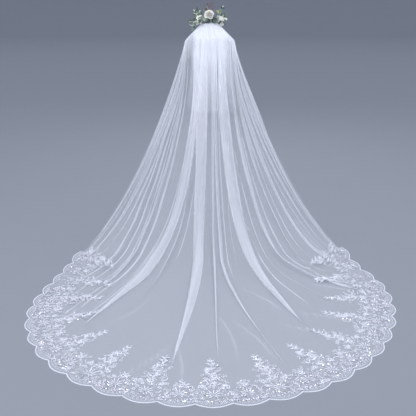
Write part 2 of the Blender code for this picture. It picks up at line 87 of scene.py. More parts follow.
# Powers of the way down at which the fall swings out sideways and back, at its edges and in
# its middle, and the share of the edges that swings out only at the foot.
FLARE_EDGE, FLARE_CORE, FLARE_LATE = 1.05, 2.3, 0.25
LEAN_EDGE, LEAN_CORE = 1.15, 1.45
BEND_STARTS, BEND_REACH, BEND_LEAST = 0.74, 0.42, 0.01
BEND_LEAVES, BEND_LANDS = 0.62, 0.7  # how far the handles of its curve reach at either end
SHOULDER, BEND, FLOOR, HEM = 1.0, 2.0, 3.0, 4.0
CORNER_SPAN = 0.30  # half the stages over which the shoulder is rounded
SCALLOPS, SCALLOP_DEPTH = 29, 0.028
# Distance of the scallops' tips from the train's centre, by the scallops from the left corner.
TIP_AT = (0, 1, 2, 3, 4, 6, 8, 10, 12, 14, 16, 18, 20, 22, 24, 25.5, 27, 28, 29)
TIP_RADIUS = (
    1.275, 1.160, 1.106, 1.088, 1.094, 1.126, 1.142, 1.159, 1.167, 1.158, 1.150, 1.144, 1.133,
    1.127, 1.143, 1.164, 1.170, 1.222, 1.360,
)
HEM_FADE = 0.10  # how near the hem the folds lie down
LYING = 0.0009  # how high the net's middle lies above what carries it

# The heights of the gathers by the stage.
GATHER_AT = (0.0, 1.0, 1.5, 2.0, 3.0, 3.4)
GATHER_HEIGHT = (0.0014, 0.0070, 0.0110, 0.0130, 0.0080, 0.0)

# The large soft folds: place across the cloth at the shoulder, half-way down, where it lands
# and at the hem, then width and height where it lands, and the stage where it has faded out.
FOLDS = table("shoulder middle landing hem width height ends", (
    (-0.93, -0.94, -0.930, -0.881, 0.060, 0.026, 3.5),
    (-0.80, -0.85, -0.655, -0.560, 0.050, 0.024, 3.5),
    (-0.64, -0.72, -0.533, -0.482, 0.060, 0.030, 3.6),
    (-0.27, -0.32, -0.384, -0.394, 0.095, 0.042, 3.8),
    (-0.20, -0.24, -0.281, -0.297, 0.050, 0.024, 3.3),
    (-0.10, -0.12, -0.075, -0.102, 0.100, 0.042, 3.6),
    (0.00, -0.01, 0.028, 0.005, 0.055, 0.028, 3.6),
    (0.07, 0.09, 0.075, 0.180, 0.050, 0.026, 3.7),
    (0.27, 0.30, 0.288, 0.287, 0.095, 0.042, 3.8),
    (0.50, 0.55, 0.463, 0.754, 0.060, 0.034, 3.6),
    (0.66, 0.73, 0.600, 0.492, 0.045, 0.022, 3.3),
    (0.82, 0.86, 0.790, 0.822, 0.050, 0.024, 3.6),
    (0.93, 0.94, 0.940, 0.948, 0.060, 0.026, 3.5),
))
FOLD_AT = (0.0, 1.0, 1.5, 2.0, 2.6)
FOLD_HEIGHT_SHARE = (0.02, 0.12, 0.40, 0.85, 1.0)
FOLD_WIDTH_SHARE = (0.08, 0.20, 0.45, 0.75, 1.0)

# The pleats, where the net lies on itself three deep: places as above, the width of the
# overlap and its height where it lands, the stage where it has opened out, and which side
# (1 right, -1 left) its upper layer runs on to.
PLEAT_COLUMNS = "shoulder middle landing hem wide tall ends side"
PLEATS = table(PLEAT_COLUMNS, (
    (-0.985, -0.985, -0.985, -0.985, 0.010, 0.004, 2.6, 1),
    (-0.950, -0.952, -0.945, -0.900, 0.009, 0.003, 3.0, 1),
    (-0.905, -0.925, -0.900, -0.840, 0.013, 0.005, 3.1, 1),
    (-0.860, -0.890, -0.800, -0.700, 0.009, 0.003, 3.5, -1),
    (-0.815, -0.865, -0.700, -0.600, 0.012, 0.005, 3.8, 1),
    (-0.770, -0.810, -0.630, -0.540, 0.009, 0.003, 3.75, 1),
    (-0.715, -0.755, -0.565, -0.500, 0.014, 0.006, 3.8, -1),
    (-0.680, -0.700, -0.530, -0.475, 0.009, 0.004, 3.75, 1),
    (-0.600, -0.620, -0.500, -0.455, 0.013, 0.004, 3.6, 1),
    (-0.400, -0.428, -0.438, -0.424, 0.008, 0.003, 3.7, -1),
    (-0.375, -0.405, -0.424, -0.414, 0.008, 0.003, 3.6, 1),
    (-0.295, -0.337, -0.375, -0.391, 0.074, 0.009, 3.7, -1),
    (-0.225, -0.250, -0.290, -0.300, 0.016, 0.006, 3.0, 1),
    (-0.180, -0.200, -0.230, -0.250, 0.008, 0.004, 2.7, 1),
    (-0.125, -0.145, -0.075, -0.095, 0.080, 0.009, 3.8, 1),
    (0.050, 0.052, 0.028, 0.010, 0.016, 0.006, 3.75, -1),
    (0.085, 0.112, 0.078, 0.180, 0.024, 0.005, 3.90, 1),
    (0.140, 0.162, 0.125, 0.205, 0.008, 0.003, 2.9, -1),
    (0.200, 0.218, 0.185, 0.230, 0.009, 0.004, 2.7, 1),
    (0.298, 0.311, 0.281, 0.290, 0.090, 0.009, 3.55, 1),
    (0.375, 0.385, 0.350, 0.400, 0.010, 0.004, 3.4, -1),
    (0.425, 0.440, 0.400, 0.520, 0.009, 0.004, 3.5, 1),
    (0.600, 0.562, 0.475, 0.735, 0.040, 0.007, 3.75, 1),
    (0.660, 0.640, 0.540, 0.755, 0.008, 0.003, 3.6, -1),
    (0.715, 0.720, 0.605, 0.775, 0.010, 0.004, 3.5, 1),
    (0.780, 0.775, 0.680, 0.800, 0.009, 0.004, 3.6, 1),
    (0.830, 0.840, 0.770, 0.830, 0.013, 0.005, 3.6, -1),
    (0.875, 0.885, 0.850, 0.868, 0.008, 0.003, 3.3, 1),
    (0.910, 0.920, 0.905, 0.900, 0.009, 0.004, 3.0, 1),
    (0.945, 0.950, 0.945, 0.945, 0.013, 0.005, 3.0, -1),
    (0.985, 0.985, 0.985, 0.985, 0.010, 0.004, 2.6, -1),
))
PLEAT_AT = (0.0, 1.0, 1.5, 2.0, 2.6)
PLEAT_WIDTH_SHARE = (0.03, 0.45, 0.95, 1.0, 0.95)
PLEAT_PULL = 5.0  # how strongly a full pleat pulls the net into itself
PLEAT_LEAST = 0.006  # the narrowest overlap
PLEAT_REACH = 2.99  # a full pleat's overlap, in its own units, at that pull
PLEAT_ZONE, PLEAT_THREADS = 2.3, 18  # half the zone it pulls in, and the columns there
PLEAT_KNOT = 0.0006  # the least gap between neighbouring pleats' zones, across
# In its own units, where its two creases lie, how wide they look and how wide the part between.
PLEAT_EDGE, PLEAT_EDGE_WIDE, PLEAT_INSIDE = 0.6, 0.22, 0.9
PLEAT_PRESS, PLEAT_BAND = 0.45, 0.04  # how pressed that part looks, if it is this wide or more
PLEAT_FADES, PLEAT_OPENS = 1.2, 0.25  # stages before its end in which it narrows and opens out

# The short tier's pleats: place across it, overlap and side. They run almost straight.
SHORT_PLEAT_DRIFTS = (-0.008, 0.010)  # from the shoulder down, by turns
SHORT_PLEAT_PLACES = (
    (-0.970, 0.012, 1), (-0.900, 0.018, 1), (-0.830, 0.014, -1), (-0.740, 0.030, 1),
    (-0.650, 0.020, 1), (-0.570, 0.016, -1), (-0.480, 0.034, 1), (-0.390, 0.018, 1),
    (-0.310, 0.026, -1), (-0.220, 0.018, 1), (-0.140, 0.030, 1), (-0.060, 0.016, -1),
    (0.020, 0.022, 1), (0.100, 0.034, -1), (0.190, 0.018, 1), (0.270, 0.026, 1),
    (0.360, 0.020, -1), (0.450, 0.034, 1), (0.540, 0.018, 1), (0.620, 0.026, -1),
    (0.710, 0.020, 1), (0.790, 0.030, -1), (0.870, 0.016, 1), (0.930, 0.018, -1),
    (0.975, 0.012, -1),
)


def short_pleat(number, place, wide, side):
    """A row of the short tier's pleats: those with a wide overlap also stand taller."""
    lower, tall = place + SHORT_PLEAT_DRIFTS[number % 2], 0.004 if wide > 0.019 else 0.003
    return place, lower, lower, lower, wide, tall, 3.0, side


SHORT_PLEATS = table(
    PLEAT_COLUMNS, [short_pleat(number, *row) for number, row in enumerate(SHORT_PLEAT_PLACES)]
)

# Fine ripples between the pleats: how many across, their height on the fall and their phase.
RIPPLES = ((37, 0.0018, 0.4), (61, 0.0014, 2.1), (97, 0.0008, 4.4))
RIPPLE_AT = (0.0, 0.6, 1.3, 2.2, 3.0, 3.3)
RIPPLE_SHARE = (0.4, 1.0, 1.2, 0.9, 0.25, 0.0)

# Creases lying on the train: both ends as places (across, down), width and height in metres.
CREASES = table("across_a down_a across_b down_b width height", (
    (0.145, 2.96, 0.260, 3.30, 0.016, 0.0050),
    (-0.420, 3.45, -0.560, 3.70, 0.018, 0.0045),
    (-0.430, 3.30, -0.620, 3.55, 0.016, 0.0045),
    (-0.105, 3.55, -0.190, 3.84, 0.016, 0.0040),
    (-0.100, 3.55, -0.065, 3.86, 0.014, 0.0040),
    (0.012, 3.22, 0.060, 3.72, 0.014, 0.0040),
    (0.060, 3.30, 0.150, 3.72, 0.015, 0.0045),
    (0.205, 3.40, 0.345, 3.76, 0.018, 0.0045),
    (0.300, 3.35, 0.440, 3.66, 0.016, 0.0050),
    (0.480, 3.05, 0.610, 3.50, 0.016, 0.0050),
    (-0.245, 3.10, -0.335, 3.55, 0.014, 0.0035),
    (-0.730, 3.10, -0.830, 3.60, 0.014, 0.0040),
    (0.700, 3.05, 0.800, 3.55, 0.014, 0.0045),
))
CREASE_BOW, CREASE_SHARP = 0.05, 2.2  # its bow, for its length, and how soon it falls away
CREASE_PRESS, CREASE_FULL = 0.9, 0.0040  # how much closer its net looks, from this height on

# The cut, before it was gathered: a strip with a half-round end, and a short strip.
CUT_WIDTH, CUT_LENGTH = 3.0, 3.5
SHORT_CUT_WIDTH, SHORT_CUT_LENGTH = 1.1, 0.72

# The short tier: its gathers, how far down it reaches, and its width, its shift to the right
# and its gathers' height by the stage.
SHORT_GATHERS = 15
SHORT_LENGTH, SHORT_ROUNDING = 1.46, 0.06
SHORT_AT = (0.0, 1.0, 1.15, 1.5)
SHORT_REACH = (1.0, 0.43, 0.48, 0.58)
SHORT_SHIFT = (0.0, 0.045, 0.070, 0.080)
SHORT_CLEAR = 0.0095  # over the long tier's highest folds
SHORT_HEIGHT = (0.0010, 0.0060, 0.0080, 0.0100)

# The spray's wire and stems. Each flower and sprig has its place along the wire and the
# direction of its stem.
WIRE_RADIUS, WIRE_FLAT, WIRE_DROOP = 0.0024, 0.058, 6.0
WIRE_Z, WIRE_Y = 0.0140, -0.0055
STEM_RADIUS, STEM_GAP = 0.0011, 0.0006
ROSE, *BLOSSOMS, BUD = table("name along direction stem radius", (
    ("rose", -0.002, (0.0, -0.55, 0.84), 0.033, 0.030),
    ("blossom_left", -0.074, (-0.20, -0.85, 0.50), 0.032, 0.018),
    ("blossom_far_left", -0.094, (0.05, -0.90, -0.38), 0.026, 0.015),
    ("blossom_right", 0.078, (0.15, -0.88, 0.42), 0.030, 0.018),
    ("blossom_low_right", 0.086, (0.10, -0.80, -0.58), 0.032, 0.017),
    ("blossom_far_right", 0.108, (0.35, -0.60, 0.72), 0.026, 0.012),
    ("bud_yellow", 0.042, (0.22, -0.40, 0.88), 0.060, 0.012),
))
ROSE_FACES, BUD_FACES = (0.0, -0.84, 0.54), (0.20, -0.86, 0.46)
*SPRIGS, TWIG = table("name along direction length leaf pairs droop", (
    ("sprig_far_left", -0.112, (-0.70, 0.10, 0.50), 0.048, 0.010, 4, 0.9),
    ("sprig_hanging_left", -0.104, (-0.35, 0.15, -0.90), 0.066, 0.011, 4, 0.1),
    ("sprig_left", -0.086, (-0.30, 0.35, 0.88), 0.084, 0.014, 4, 0.2),
    ("sprig_top_left", -0.048, (-0.42, 0.40, 0.85), 0.112, 0.014, 5, 0.3),
    ("sprig_top", -0.014, (-0.10, 0.45, 0.90), 0.112, 0.012, 5, 0.2),
    ("sprig_top_right", 0.062, (0.30, 0.40, 0.88), 0.116, 0.014, 5, 0.2),
    ("sprig_right", 0.094, (0.30, 0.35, 0.85), 0.072, 0.014, 4, 0.3),
    ("twig_berries", 0.012, (-0.04, 0.30, 0.95), 0.128, 0.005, 6, 0.1),
))
FILLERS, BERRIES = 84, 14
FILLER_START, FILLER_SPAN = -0.118, 0.216  # the part of the wire that they stand on
FILLER_NEAR = 0.048  # nearer to the middle than this, they lie close
FILLER_CLOSE = {"rise": (-0.45, 0.45), "length": (0.008, 0.018)}
FILLER_OPEN = {"rise": (-0.60, 0.95), "length": (0.016, 0.040)}
# The least and most length of their leaves and petals, and the width for that length.
FILLER_LEAF, FILLER_PETAL = (0.011, 0.016, 0.5), (0.008, 0.011, 0.75)
GOLDEN_ANGLE = 2.39996  # radians
LEAF_TONES = (0.0, 0.12, 0.25, 0.5, 0.7, 0.95)  # from deep green to pale sage


def linear(code):
    """An sRGB hex colour as linear numbers."""
    parts = np.array([int(code[i : i + 2], 16) for i in (0, 2, 4)]) / 255
    return tuple(np.where(parts <= 0.04045, parts / 12.92, ((parts + 0.055) / 1.055) ** 2.4))


# ---- What a user may change ----


def colour_of(name, description, code):
    """A colour that a user may change, from its sRGB code."""
    return FloatVectorProperty(
        name=name, description=description, subtype="COLOR", default=linear(code), min=0.0, max=1.0
    )


def length_of(name, description, metres, least=0.0):
    """A length that a user may change."""
    return FloatProperty(
        name=name, description=description, default=metres, min=least, unit="LENGTH"
    )


class VeilTulle(bpy.types.PropertyGroup):
    colour: colour_of("Colour", "Of the nylon", "F3F5FC")
    cover: FloatProperty(
        name="Cover", description="Share of a flat layer that its threads hide", default=0.18,
        min=0.05, max=0.9, subtype="FACTOR",
    )
    cell: length_of("Cell", "Width of a cell of the net as drawn", 0.0045, 0.001)


class VeilLace(bpy.types.PropertyGroup):
    colour: colour_of("Thread", "Colour of the embroidery", "EAECF5")
    thread: length_of("Line", "Half the width of an embroidered line", 0.0014, 0.0004)
    relief: length_of("Relief", "Height of the padded stitches", 0.0013)
    sequins: IntProperty(
        name="Sequins", description="For each scallop of the hem", default=130, min=0, max=400
    )
    sequin: length_of("Sequin", "Radius of a sequin", 0.0030, 0.0005)
    cord: length_of("Cord", "Width of the hem's satin cord", 0.0060, 0.001)


class VeilFlowers(bpy.types.PropertyGroup):
    petal: colour_of("Petals", "Ivory silk", "FDFBF4")
    bud: colour_of("Bud", "Yellow-green silk", "E6E7BC")
    leaf: colour_of("Leaves", "Grey-green silk", "6F8A76")
    berry: colour_of("Berries", "Dark red", "7E2630")


class VeilStage(bpy.types.PropertyGroup):
    floor: colour_of("Floor", "Colour of the floor and backdrop", "84888F")
    distance: length_of("Distance", "From the camera to the comb, along the floor", 5.0, 1.0)
    height: length_of("Height", "Of the camera above the floor", 1.80, 0.1)
    pitch: FloatProperty(
        name="Pitch", description="How far the camera looks down", default=math.radians(17.80),
        subtype="ANGLE",
    )
    aside: length_of("Aside", "How far right of the veil the camera stands", -0.0115, -10.0)
    lens: FloatProperty(name="Lens", description="Focal length", default=56.25, min=10.0)


class VeilSettings(bpy.types.PropertyGroup):
    tulle: PointerProperty(type=VeilTulle)
    lace: PointerProperty(type=VeilLace)
    flowers: PointerProperty(type=VeilFlowers)
    stage: PointerProperty(type=VeilStage)


# ---- Meshes from arrays ----


def unit(vectors):
    """Vectors brought to length 1."""
    vectors = np.asarray(vectors, float)
    return vectors / np.maximum(np.linalg.norm(vectors, axis=-1, keepdims=True), 1e-12)


def ease(x):
    """0 to 1 with level ends."""
    x = np.clip(x, 0.0, 1.0)
    return x * x * (3 - 2 * x)


def stacked(*parts):
    """Points from their coordinates, which broadcast together."""
    return np.stack(np.broadcast_arrays(*parts), -1)


def run_along(points):
    """Metres from the first row of a line or a grid of points, down each column."""
    steps = np.linalg.norm(np.diff(points, axis=0), axis=-1)
    return np.concatenate([np.zeros_like(steps[:1]), np.cumsum(steps, axis=0)])


def grid_faces(rows, columns, closed=False):
    """The four-sided faces of a grid of points; closed joins the last column to the first."""
    index = np.arange(rows * columns).reshape(rows, columns)
    if closed:
        index = np.concatenate([index, index[:, :1]], axis=1)
    corners = index[:-1, :-1], index[1:, :-1], index[1:, 1:], index[:-1, 1:]
    return np.stack(corners, -1).reshape(-1, 4)


def grid_part(points, uv, closed=False, flipped=False):
    """A grid of points with its faces: (points, faces, uv)."""
    faces = grid_faces(*points.shape[:2], closed)
    return points.reshape(-1, 3), faces[:, ::-1] if flipped else faces, uv.reshape(-1, 2)


def joined(parts):
    """Several (points, faces, uv) as one, with each part's faces counted on."""
    shift = np.cumsum([0] + [len(points) for points, _, _ in parts[:-1]])
    faces = [part[1] + start for part, start in zip(parts, shift)]
    points, uv = [part[0] for part in parts], [part[2] for part in parts]
    return np.concatenate(points), np.concatenate(faces), np.concatenate(uv)


def make_piece(name, part, stuff, marks=None):
    """An object at the origin from (points, faces, uv), one uv a point; marks are its named
    numbers."""
    points, faces, uv = part
    mesh = bpy.data.meshes.new(name)
    mesh.from_pydata(points.tolist(), [], faces.tolist())
    layer = mesh.uv_layers.new(name="cut")
    layer.data.foreach_set("uv", uv[faces.ravel()].astype(np.float32).ravel())
    for word, values in (marks or {}).items():
        mark = mesh.attributes.new(word, "FLOAT", "POINT")
        mark.data.foreach_set("value", values.astype(np.float32).ravel())
    mesh.materials.append(stuff)
    mesh.shade_smooth()
    made = bpy.data.objects.new(name, mesh)
    bpy.context.scene.collection.objects.link(made)
    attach(made, "root")
    return made


def circles(sides, first, second):
    """The points of unit circles, each in the plane of two directions."""
    turn = 2 * np.pi * np.arange(sides)[:, None] / sides
    return np.cos(turn) * first[:, None] + np.sin(turn) * second[:, None]


def tube(line, radius, sides):
    """A round bar along a line: a circle carried along it, square to it, with closed ends."""
    line = np.asarray(line, float)
    radius = np.broadcast_to(radius, len(line))
    ahead = unit(np.gradient(line, axis=0))
    level = np.array([0.0, 1.0, 0.0]) if abs(ahead[0][1]) < 0.8 else np.array([1.0, 0, 0])
    across = unit(np.cross(ahead, level))
    ring = circles(sides, across, np.cross(ahead, across))
    body = line[:, None] + ring * radius[:, None, None]
    tips = np.stack([line[:1].repeat(sides, 0), line[-1:].repeat(sides, 0)])
    rings = np.concatenate([tips[:1], body, tips[1:]])
    run = np.pad(run_along(line), 1, mode="edge")
    turn = 2 * np.pi * np.arange(sides) / sides
    return grid_part(rings, stacked(turn * radius.max(), run[:, None]), closed=True, flipped=True)


# ---- Materials ----


def add(tree, kind, inputs=None, **settings):
    """One shader node with its settings, its input values and its links."""
    node = tree.nodes.new("ShaderNode" + kind)
    for word, value in settings.items():
        setattr(node, word, value)
    for socket, value in (inputs or {}).items():
        if isinstance(value, bpy.types.NodeSocket):
            tree.links.new(value, node.inputs[socket])
        else:
            node.inputs[socket].default_value = value
    return node


def worked(tree, operation, first, second=0.0):
    """One step of arithmetic."""
    return add(tree, "Math", {0: first, 1: second}, operation=operation).outputs[0]


def bands(tree, vector, width, distortion, axis, detail=2.0):
    """Even bands square to an axis, 1.26 widths apart, as a factor."""
    scale = 0.25 / width
    inputs = {"Vector": vector, "Scale": scale, "Distortion": distortion, "Detail": detail}
    node = add(tree, "TexWave", inputs, wave_type="BANDS", bands_direction=axis)
    return node.outputs["Fac"]


def grain(tree, scale, detail=2.0):
    """Noise all through the piece, as a factor."""
    place = add(tree, "TexCoord").outputs["Object"]
    inputs = {"Vector": place, "Scale": scale, "Detail": detail}
    return add(tree, "TexNoise", inputs).outputs["Fac"]


def ramp(tree, factor, *stops):
    """A colour that changes with a factor, from (factor, colour) stops."""
    node = add(tree, "ValToRGB", {"Fac": factor})
    elements = node.color_ramp.elements
    elements[0].position, elements[1].position = stops[0][0], stops[-1][0]
    for place, _ in stops[1:-1]:
        elements.new(place)
    for element, (_, colour) in zip(elements, stops):
        element.color = (*colour, 1.0)
    return node.outputs["Color"]


def tint(tree, shader, factor, low, high):
    """The shader's colour, from low to high with a factor."""
    mix = add(tree, "Mix", {"Factor": factor, 6: low, 7: high}, data_type="RGBA")
    tree.links.new(mix.outputs[2], shader.inputs["Base Color"])


def emboss(tree, shader, height, strength, distance):
    """The shader's relief, as a bump of this height in metres."""
    bump = add(tree, "Bump", {"Height": height, "Strength": strength, "Distance": distance})
    tree.links.new(bump.outputs[0], shader.inputs["Normal"])


def principled(name, colour, roughness, **sockets):
    """A material with its shader's own sockets set."""
    made = bpy.data.materials.new(name)
    made.use_nodes = True
    tree = made.node_tree
    shader = tree.nodes["Principled BSDF"]
    shader.inputs["Base Color"].default_value = (*colour, 1.0)
    shader.inputs["Roughness"].default_value = roughness
    for word, value in sockets.items():
        shader.inputs[word.replace("_", " ")].default_value = value
    made.diffuse_color = (*colour, 1.0)
    return made, tree, shader


def shade_of(colour, factor=1.0):
    """A colour made darker or lighter by a factor, as an RGBA value."""
    return (*[min(1.0, part * factor) for part in colour], 1.0)


def tulle_material(settings):
    """Nylon bobbinet, heat-set: soft white threads with open cells, so it shows as a haze that
    thickens where the net is gathered or folded."""
    made, tree, shader = principled(
        "tulle_nylon_bobbinet", settings.colour, 0.62,
        Sheen_Weight=0.35, Sheen_Roughness=0.35, Specular_IOR_Level=0.35,
    )
    # Real cells are 1.5 mm wide. They are drawn about three times as wide, and faint.
    uv = add(tree, "UVMap", uv_map="cut")
    cells = add(
        tree, "TexVoronoi", {"Vector": uv.outputs[0], "Scale": 1 / settings.cell},
        feature="DISTANCE_TO_EDGE", voronoi_dimensions="2D",
    )
    ends = {"Value": cells.outputs["Distance"], 1: 0.0, 2: 0.35, 3: 1.15, 4: 0.88}
    thread = add(tree, "MapRange", ends).outputs[0]
    # The share of light that gets through falls by a power of the layers' worth of thread.
    mark = add(tree, "Attribute", attribute_name="closeness")
    close = worked(tree, "MULTIPLY", mark.outputs["Fac"], math.log(1 - settings.cover))
    through = worked(tree, "EXPONENT", worked(tree, "MULTIPLY", close, thread))
    tree.links.new(worked(tree, "SUBTRACT", 1.0, through), shader.inputs["Alpha"])
    colour = settings.colour
    tint(tree, shader, grain(tree, 3.0), shade_of(colour), shade_of(colour, 0.94))
    emboss(tree, shader, thread, 0.08, 0.0004)
    return made


def thread_material(name, colour, width, sheen=0.4):
    """Rayon satin stitch, machine-embroidered: bright threads side by side, each line of
    stitches darkened in its grooves by painted shade."""
    made, tree, shader = principled(
        name, colour, 0.42, Sheen_Weight=sheen, Sheen_Roughness=0.3, Coat_Weight=0.1,
        Coat_Roughness=0.3,
    )
    # Real threads are 0.3 mm wide. They are drawn 1.5 to 2 mm wide, so that they show.
    uv = add(tree, "UVMap", uv_map="cut")
    lines = bands(tree, uv.outputs[0], width, 0.6, "Y")
    # Painted shade: the grooves between the drawn threads get a darker colour, on the lace and the
    # cord alike.
    tint(tree, shader, lines, shade_of(colour, 0.78), shade_of(colour))
    emboss(tree, shader, lines, 0.4, 0.0003)
    return made


def sequin_material():
    """Clear PET sequins, punched and vacuum-coated: hard points of light, a few tinted pink
    or blue where the coat is thicker."""
    colour = linear("FBFAFF")
    made, tree, shader = principled(
        "sequin_coated_pet", colour, 0.20, Metallic=0.50, Coat_Weight=1.0, Coat_Roughness=0.05
    )
    blue, pink = linear("D9DEF6"), linear("F3DCE6")
    coat = ramp(tree, grain(tree, 55.0), (0.36, blue), (0.50, colour), (0.66, pink))
    tree.links.new(coat, shader.inputs["Base Color"])
    return made


def petal_material(name, colour, edge_colour):
    """Pressed silk, stiffened: matt, finely woven, a little deeper in colour towards the heart
    of the bloom, with faint veins pressed along each petal."""
    made, tree, shader = principled(
        name, colour, 0.66, Sheen_Weight=0.5, Sheen_Roughness=0.4, Subsurface_Weight=0.12,
        Subsurface_Scale=0.004,
    )
    uv = add(tree, "UVMap", uv_map="cut").outputs[0]
    apart = add(tree, "SeparateXYZ", {0: uv})
    tint(tree, shader, apart.outputs["Y"], shade_of(edge_colour), shade_of(colour))
    # Ten veins stand side by side on each petal, about 2 mm apart where it is 20 mm wide.
    emboss(tree, shader, bands(tree, uv, 1 / 12, 2.0, "X", 1.0), 0.25, 0.0004)
    return made


def leaf_material(colour):
    """Printed silk leaves, cut and pressed: each leaf its own green between a deep one and a
    pale sage, paler along the midrib, with side veins pressed in."""
    made, tree, shader = principled(
        "silk_leaf_pressed", colour, 0.55, Sheen_Weight=0.25, Subsurface_Weight=0.08,
        Subsurface_Scale=0.003,
    )
    sage = linear("D3DACB")
    uv = add(tree, "UVMap", uv_map="cut")
    apart = add(tree, "SeparateXYZ", {0: uv.outputs[0]})
    aside = worked(tree, "ABSOLUTE", worked(tree, "SUBTRACT", apart.outputs["X"], 0.5))
    rib = add(tree, "MapRange", {"Value": aside, 1: 0.02, 2: 0.10, 3: 0.4, 4: 0}).outputs[0]
    tone = add(tree, "Attribute", attribute_name="tone").outputs["Fac"]
    body = ramp(tree, tone, (0.0, linear("2A3A2E")), (0.5, colour), (1.0, sage))
    tint(tree, shader, rib, body, shade_of(sage))
    # Six side veins on a leaf of about 20 mm.
    lean = worked(tree, "SUBTRACT", apart.outputs["Y"], aside)
    veins = worked(tree, "SINE", worked(tree, "MULTIPLY", lean, 6 * 2 * math.pi))
    emboss(tree, shader, veins, 0.3, 0.0004)
    return made


def speckled_material(name, colour, roughness, width, contrast, relief, **sockets):
    """A surface with an uneven grain of this width in metres: its colour and its height vary
    together."""
    made, tree, shader = principled(name, colour, roughness, **sockets)
    noise = grain(tree, 1 / width, 3.0)
    tint(tree, shader, noise, shade_of(colour, 1 - contrast), shade_of(colour, 1 + contrast))
    emboss(tree, shader, noise, 0.5, relief)
    return made


def ribbed_material(name, colour, roughness, width, axis, contrast, **sockets):
    """A surface with even ribs of this width in metres, square to an axis: ribbon weave or
    drawn metal."""
    made, tree, shader = principled(name, colour, roughness, **sockets)
    place = add(tree, "TexCoord").outputs["Object"]
    ribs = bands(tree, place, width, 0.4, axis)
    tint(tree, shader, ribs, shade_of(colour, 1 - contrast), shade_of(colour))
    emboss(tree, shader, ribs, 0.3, 0.0002)
    return made


# ---- The drape ----


def shoulder_ring(across):
    """An arc round the back at the height of the shoulders."""
    angle = np.radians(SHOULDER_WRAP) * across
    return stacked(SHOULDER_HALF * np.sin(angle), -SHOULDER_BACK * np.cos(angle), -SHOULDER_DROP)


def landing_line(across):
    """Where the fall would meet the floor if it didn't curve: a shallow bow."""
    return stacked(
        LANDING_HALF * across + LANDING_SHIFT * across**2,
        LANDING_CURVE * across**2 + LANDING_SKEW * across**3 - LANDING_BACK,
        -COMB_HEIGHT,
    )


def tip_radius(across):
    """Distance of the scallops' tips from the train's centre, read from its table."""
    return np.interp(SCALLOPS * (across + 1) / 2, TIP_AT, TIP_RADIUS)


def round_line(across, radius):
    """Points on the floor at these distances from the train's centre."""
    angle = np.radians(TRAIN_TURN + TRAIN_SWEEP * across)
    x, y = TRAIN_CENTRE
    return stacked(x + radius * np.sin(angle), y - radius * np.cos(angle), -COMB_HEIGHT)


def hem_line(across):
    """The scalloped circle that the hem lies on: nearer than the tips by a power of a sine."""
    lobe = np.abs(np.sin(np.pi * SCALLOPS * (across + 1) / 2)) ** 0.9
    return round_line(across, tip_radius(across) - SCALLOP_DEPTH * (1 - lobe))


def fall(across, share):
    """Shoulders to landing line: powers of the share of the way make it swing out late."""
    share = np.maximum(share, 0.0)
    top, foot = shoulder_ring(across), landing_line(across)
    core = np.maximum(1 - across**4, 0.0)
    flare = FLARE_EDGE + (FLARE_CORE - FLARE_EDGE) * core
    lean = LEAN_EDGE + (LEAN_CORE - LEAN_EDGE) * core
    late = FLARE_LATE * across**4
    way = stacked((1 - late) * share**flare + late * share**4, share**lean, share)
    return top + (foot - top) * way


def smooth_cloth(across, down):
    """The cloth with no folds: a ruled stretch over the shoulders, the fall, a cubic curve on
    to the floor and a flat train, ruled from that curve's end to the hem."""
    across, down = np.broadcast_arrays(np.asarray(across, float), np.asarray(down, float))
    comb = stacked(COMB_HALF * across, 0.0, 0.0)
    over = comb + (shoulder_ring(across) - comb) * down[..., None]
    hang = fall(across, (down - SHOULDER) * BEND_STARTS)
    corner = ease((down - SHOULDER) / (2 * CORNER_SPAN) + 0.5)[..., None]
    upper = over + (hang - over) * corner

    foot, hem = landing_line(across), hem_line(across)
    along = unit(round_line(across, tip_radius(across)) - foot)
    reach = (BEND_REACH * np.maximum(1 - across**4, 0) + BEND_LEAST)[..., None]
    start = fall(across, np.full_like(down, BEND_STARTS))
    before = fall(across, np.full_like(down, BEND_STARTS - 0.01))
    first = start + (start - before) * 100 * (1 - BEND_STARTS) * BEND_LEAVES
    last = foot + along * reach
    second = last - along * reach * BEND_LANDS
    t = np.clip(down - BEND, 0, 1)[..., None]
    bend = (1 - t) ** 3 * start + 3 * t * (1 - t) ** 2 * first
    bend = bend + 3 * t**2 * (1 - t) * second + t**3 * last

    laid = last + (hem - last) * (down - FLOOR)[..., None]
    lower = np.where((down < FLOOR)[..., None], bend, laid)
    return np.where((down < BEND)[..., None], upper, lower)


def outward(across, down):
    """The way out of the cloth: level at the comb, square to the fall, up on the train."""
    step = 1e-3
    inside = np.clip(down, step, HEM - step)
    side = smooth_cloth(across + step, inside) - smooth_cloth(across - step, inside)
    ahead = smooth_cloth(across, inside + step) - smooth_cloth(across, inside - step)
    normal = unit(np.cross(ahead, side))
    normal[..., 2] *= ease(down / SHOULDER)
    return np.where((down >= FLOOR)[..., None], np.array([0.0, 0.0, 1.0]), unit(normal))


def width_at(across, down):
    """Metres of smooth cloth for each unit across."""
    step = 1e-3
    ends = smooth_cloth(across + step, down) - smooth_cloth(across - step, down)
    return np.linalg.norm(ends, axis=-1) / (2 * step)


def path_of(row, down):
    """Where a fold or pleat lies across the cloth at a stage."""
    places = [row[word] for word in ("shoulder", "middle", "landing", "hem")]
    return np.interp(down, (SHOULDER, 1.6, 2.6, HEM), places)


